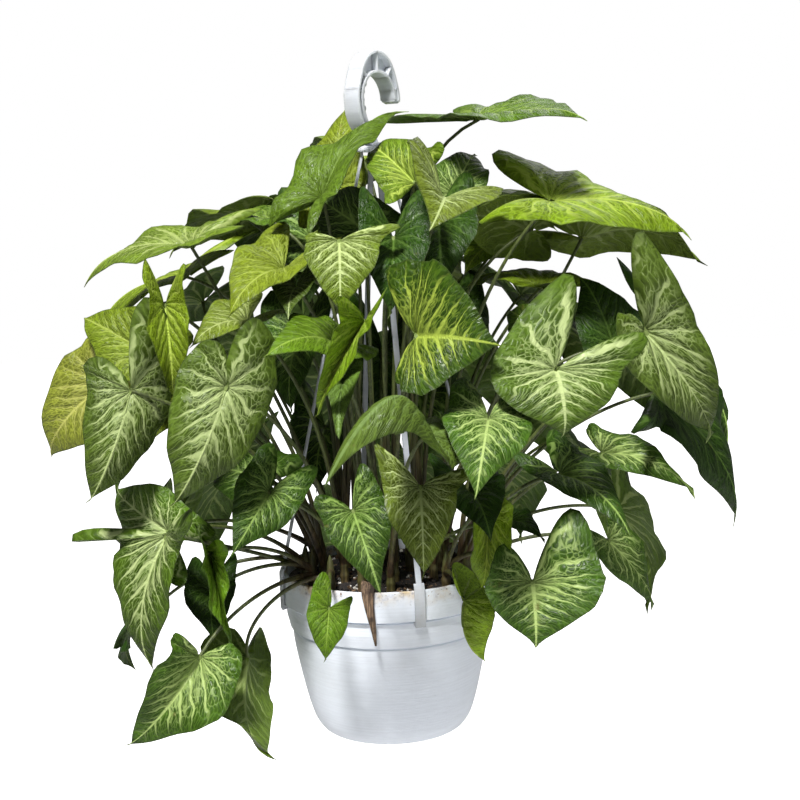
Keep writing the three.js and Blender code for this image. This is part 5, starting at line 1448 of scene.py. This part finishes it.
class ARROWHEAD_OT_straps(bpy.types.Operator):
    """The four straps: a head above the hub, a straight strip and a clip over the collar"""
    bl_idname = "arrowhead.straps"
    bl_label = "Straps"

    def execute(self, context):
        looks = context.scene.arrowhead_pot
        # the strap colour is darkened, partly for a greyer plastic and partly as painted shade for
        # straps seen among the shaded leaves
        material = plastic_material("strap_white", [c * STRAP_GREY_AND_PAINTED_SHADE for c in looks.plastic], 0.4)
        inner, outer = STRAP_RING - STRAP_THICK / 2, STRAP_RING + STRAP_THICK / 2
        clip_in = COLLAR_RADIUS + CLIP_CLEAR
        clip_out = clip_in + CLIP_THICK
        hub = HUB_TOP + 0.3
        # the straight line bends below the hub and above the clip
        strip = [(inner, hub), (inner, HUB_BOTTOM - 3), (COLLAR_RADIUS - 2.6, POT_HEIGHT + 10),
                 (clip_in, POT_HEIGHT + 2), (clip_out, POT_HEIGHT + 2),
                 (COLLAR_RADIUS - 0.4, POT_HEIGHT + 11), (outer, HUB_BOTTOM - 3), (outer, hub)]
        head = [(inner, hub), (outer, hub), (outer, HUB_TOP + 3), (inner, HUB_TOP + 3)]
        # the clip hooks under the collar
        under = COLLAR_BOTTOM - 0.5
        clip = [(COLLAR_RADIUS - 1.6, POT_HEIGHT + 7), (clip_in, POT_HEIGHT + 1),
                (clip_in, under), (COLLAR_RADIUS - 3.5, under),
                (COLLAR_RADIUS - 3.5, CLIP_BOTTOM + 1.5), (clip_out, CLIP_BOTTOM),
                (clip_out, POT_HEIGHT + 2), (COLLAR_RADIUS + 0.6, POT_HEIGHT + 7)]
        for k, name in enumerate(STRAP_NAMES):
            turn = STRAP_FIRST + k * 360 / STRAP_COUNT
            shell = Shell()
            for outline, width in ((strip, STRAP_WIDTH), (head, STRAP_HEAD_WIDTH),
                                   (clip, CLIP_WIDTH)):
                points, faces = slab(outline, width, turn)
                shell.add(row(points), faces)
            piece = bevelled(shell.build("clip_" + name, [material]), STRAP_EDGE * MM)
            put(piece, "hanger_plastic", name)
        return {"FINISHED"}


class ARROWHEAD_OT_shoots(bpy.types.Operator):
    """Every leafy shoot: its stem, its stalks and its veined blades"""
    bl_idname = "arrowhead.shoots"
    bl_label = "Leafy shoots"

    def execute(self, context):
        looks = context.scene.arrowhead_leaf
        stalks = stalk_material()
        blades = {slot: blade_material("blade_" + slot, gloss)
                  for slot, gloss in BLADE_GLOSS.items()}
        for index, (name, (x, y), slot_name, leaves) in enumerate(SHOOTS):
            ground = float(soil_height(math.hypot(x, y)))
            shell = Shell()
            for k, place in enumerate(leaves):
                rise = STEM_HEIGHT * (0.3 + 0.6 * (k + 1) / (len(leaves) + 1))
                add_blade(shell, place, looks, seed=100 * index + k)
                add_stalk(shell, np.array((x, y, ground + rise)), place)
            add_stem(shell, x, y, ground, seed=index)
            piece = shell.build(name.replace("shoot_", "foliage_"), [blades[slot_name], stalks])
            put(piece, slot_name, name)
        return {"FINISHED"}


class ARROWHEAD_OT_dry_leaf(bpy.types.Operator):
    """The withered sheath that folds over the rim and hangs before the collar"""
    bl_idname = "arrowhead.dry_leaf"
    bl_label = "Withered leaf"

    def execute(self, context):
        line = along_line(rounded(SHEATH_LINE), SHEATH_ROWS)
        middle, half = line[:, :3], line[:, 3]
        across = np.array((1.0, 0, 0))
        face = unit(np.cross(unit(np.gradient(middle, axis=0)), across))
        v = np.linspace(-1, 1, SHEATH_COLUMNS)
        # the sheet curls forward towards its middle, and is crumpled by noise
        curl = -SHEATH_CURL * half[:, None] * (1 - v[None, :] ** 2)
        sheet = (middle[:, None] + half[:, None, None] * v[None, :, None] * across
                 + curl[..., None] * face[:, None]).reshape(-1, 3)
        crumple = SHEATH_CRUMPLE * ripple(sheet * (1.0, 1.0, 0.4), 3, 9.0, 3)
        sheet = sheet + np.repeat(face, len(v), 0) * crumple[:, None]
        quads = grid_quads(len(line), len(v))
        normal = SHEATH_HALF_THICK * vertex_normals(sheet, split_quads(quads))
        at = np.arange(len(sheet)).reshape(len(line), len(v))
        edge = np.concatenate([at[0], at[1:-1, -1], at[-1, ::-1], at[-2:0:-1, 0]])
        points, faces = thick_sheet(sheet + normal, sheet - normal, [quads], edge)
        shell = Shell()
        shell.add(row(points), faces)
        put(shell.build("withered_sheath", [dry_material()]), "dry_leaf", "dry_leaf")
        return {"FINISHED"}


class ARROWHEAD_OT_stage(bpy.types.Operator):
    """Pale floor and backdrop, soft lights and the camera"""
    bl_idname = "arrowhead.stage"
    bl_label = "Stage, lights and camera"

    def execute(self, context):
        looks = context.scene.arrowhead_stage
        self.floor(looks)
        self.sky(context.scene, looks)
        self.lamps(context.scene, looks)
        self.camera(context.scene)
        context.scene.view_settings.view_transform = "Standard"
        context.scene.view_settings.exposure = 0.0
        return {"FINISHED"}

    @staticmethod
    def floor(looks):
        """A wide level disk of rings and spokes. It is lifted to white where it is seen, and
        lights nothing with it."""
        radius = FLOOR_RADIUS * np.linspace(0, 1, FLOOR_RINGS + 1)[1:, None] ** 2
        angle = circle(FLOOR_SPOKES)
        x, y = radius * np.cos(angle), radius * np.sin(angle)
        level = -BEARING_Z * MM - looks.floor_drop
        ring = np.stack([x, y, np.full_like(x, level)], -1).reshape(-1, 3)
        turn = np.arange(FLOOR_SPOKES)
        fan = np.stack([np.full_like(turn, len(ring)), turn, (turn + 1) % FLOOR_SPOKES], 1)
        material, w, shader, place = new_material("pale_floor", 0.9)
        w.link(w.mix(w.noise(place, 1.6), (*(0.97 * c for c in looks.floor_colour), 1),
                     (*looks.floor_colour, 1)), shader["Base Color"])
        shader["Emission Color"].default_value = (1, 1, 1, 1)
        seen = w.node("LightPath").outputs["Is Camera Ray"]
        w.link(w.times(seen, looks.floor_lift), shader["Emission Strength"])
        shell = Shell()
        shell.add(np.concatenate([ring, [(0, 0, level)]]),
                  [grid_quads(len(radius), FLOOR_SPOKES, closed=True)[:, ::-1], fan])
        floor = shell.build("pale_floor", [material])

    @staticmethod
    def sky(scene, looks):
        """Even white light from all round, which is seen as plain white."""
        scene.world = bpy.data.worlds.new("studio")
        scene.world.use_nodes = True
        w = Wiring(scene.world.node_tree)
        background = w.nodes["Background"].inputs
        background["Color"].default_value = (1, 1, 1, 1)
        seen = w.node("LightPath").outputs["Is Camera Ray"]
        w.link(w.fade(seen, 0.0, 1.0, looks.sky_strength, 1.0), background["Strength"])

    @staticmethod
    def lamps(scene, looks):
        """Round soft lights, each turned to the middle of the plant."""
        for name, place, size, power, colour in LAMPS:
            light = bpy.data.lights.new(name, "AREA")
            light.shape, light.size, light.energy = "DISK", size, getattr(looks, power)
            light.color = colour
            lamp = bpy.data.objects.new(name, light)
            lamp.location = place
            away = Vector(LAMP_AIM) - Vector(place)
            lamp.rotation_euler = away.to_track_quat("-Z", "Y").to_euler()
            scene.collection.objects.link(lamp)

    @staticmethod
    def camera(scene):
        """The camera looks along +Y and down by CAMERA_DOWN, rolled by CAMERA_ROLL."""
        down, roll = math.radians(CAMERA_DOWN), math.radians(CAMERA_ROLL)
        level = Vector((1, 0, 0))
        up = Vector((0, math.sin(down), math.cos(down)))
        ahead = Vector((0, math.cos(down), -math.sin(down)))
        right = level * math.cos(roll) - up * math.sin(roll)
        above = level * math.sin(roll) + up * math.cos(roll)
        data = bpy.data.cameras.new("camera")
        data.sensor_width, data.lens = SENSOR_WIDTH, SENSOR_WIDTH * CAMERA_FOCUS / IMAGE_WIDTH
        data.clip_end = 50
        camera = bpy.data.objects.new("camera", data)
        spot = row([CAMERA_PLACE])[0]
        camera.matrix_world = Matrix((*zip(right, above, -ahead, spot), (0, 0, 0, 1)))
        scene.collection.objects.link(camera)
        scene.camera = camera


class ARROWHEAD_PT_panel(bpy.types.Panel):
    """Lists the plant's settings and the steps that build it"""
    bl_idname = "ARROWHEAD_PT_panel"
    bl_label = "Arrowhead plant"
    bl_space_type = "VIEW_3D"
    bl_region_type = "UI"
    bl_category = "Arrowhead plant"

    def draw(self, context):
        for group in SETTINGS:
            settings = getattr(context.scene, group)
            for key in settings.bl_rna.properties.keys():
                if key not in ("rna_type", "name"):
                    self.layout.prop(settings, key)
        for step in STEPS:
            self.layout.operator(step.bl_idname)


SETTINGS = {"arrowhead_pot": PotSettings, "arrowhead_leaf": LeafSettings,
            "arrowhead_soil": SoilSettings, "arrowhead_stage": StageSettings}
STEPS = (ARROWHEAD_OT_stage, ARROWHEAD_OT_pot, ARROWHEAD_OT_soil, ARROWHEAD_OT_hook,
         ARROWHEAD_OT_straps, ARROWHEAD_OT_shoots, ARROWHEAD_OT_dry_leaf)
CLASSES = (*SETTINGS.values(), *STEPS, ARROWHEAD_PT_panel)


def register():
    for cls in CLASSES:
        bpy.utils.register_class(cls)
    for key, cls in SETTINGS.items():
        setattr(bpy.types.Scene, key, PointerProperty(type=cls))


def unregister():
    for key in SETTINGS:
        delattr(bpy.types.Scene, key)
    for cls in reversed(CLASSES):
        bpy.utils.unregister_class(cls)


def main():
    register()
    for step in STEPS:
        group, name = step.bl_idname.split(".")
        if getattr(getattr(bpy.ops, group), name)() != {"FINISHED"}:
            raise RuntimeError(f"{step.bl_label} did not finish")


if __name__ == "__main__":
    main()
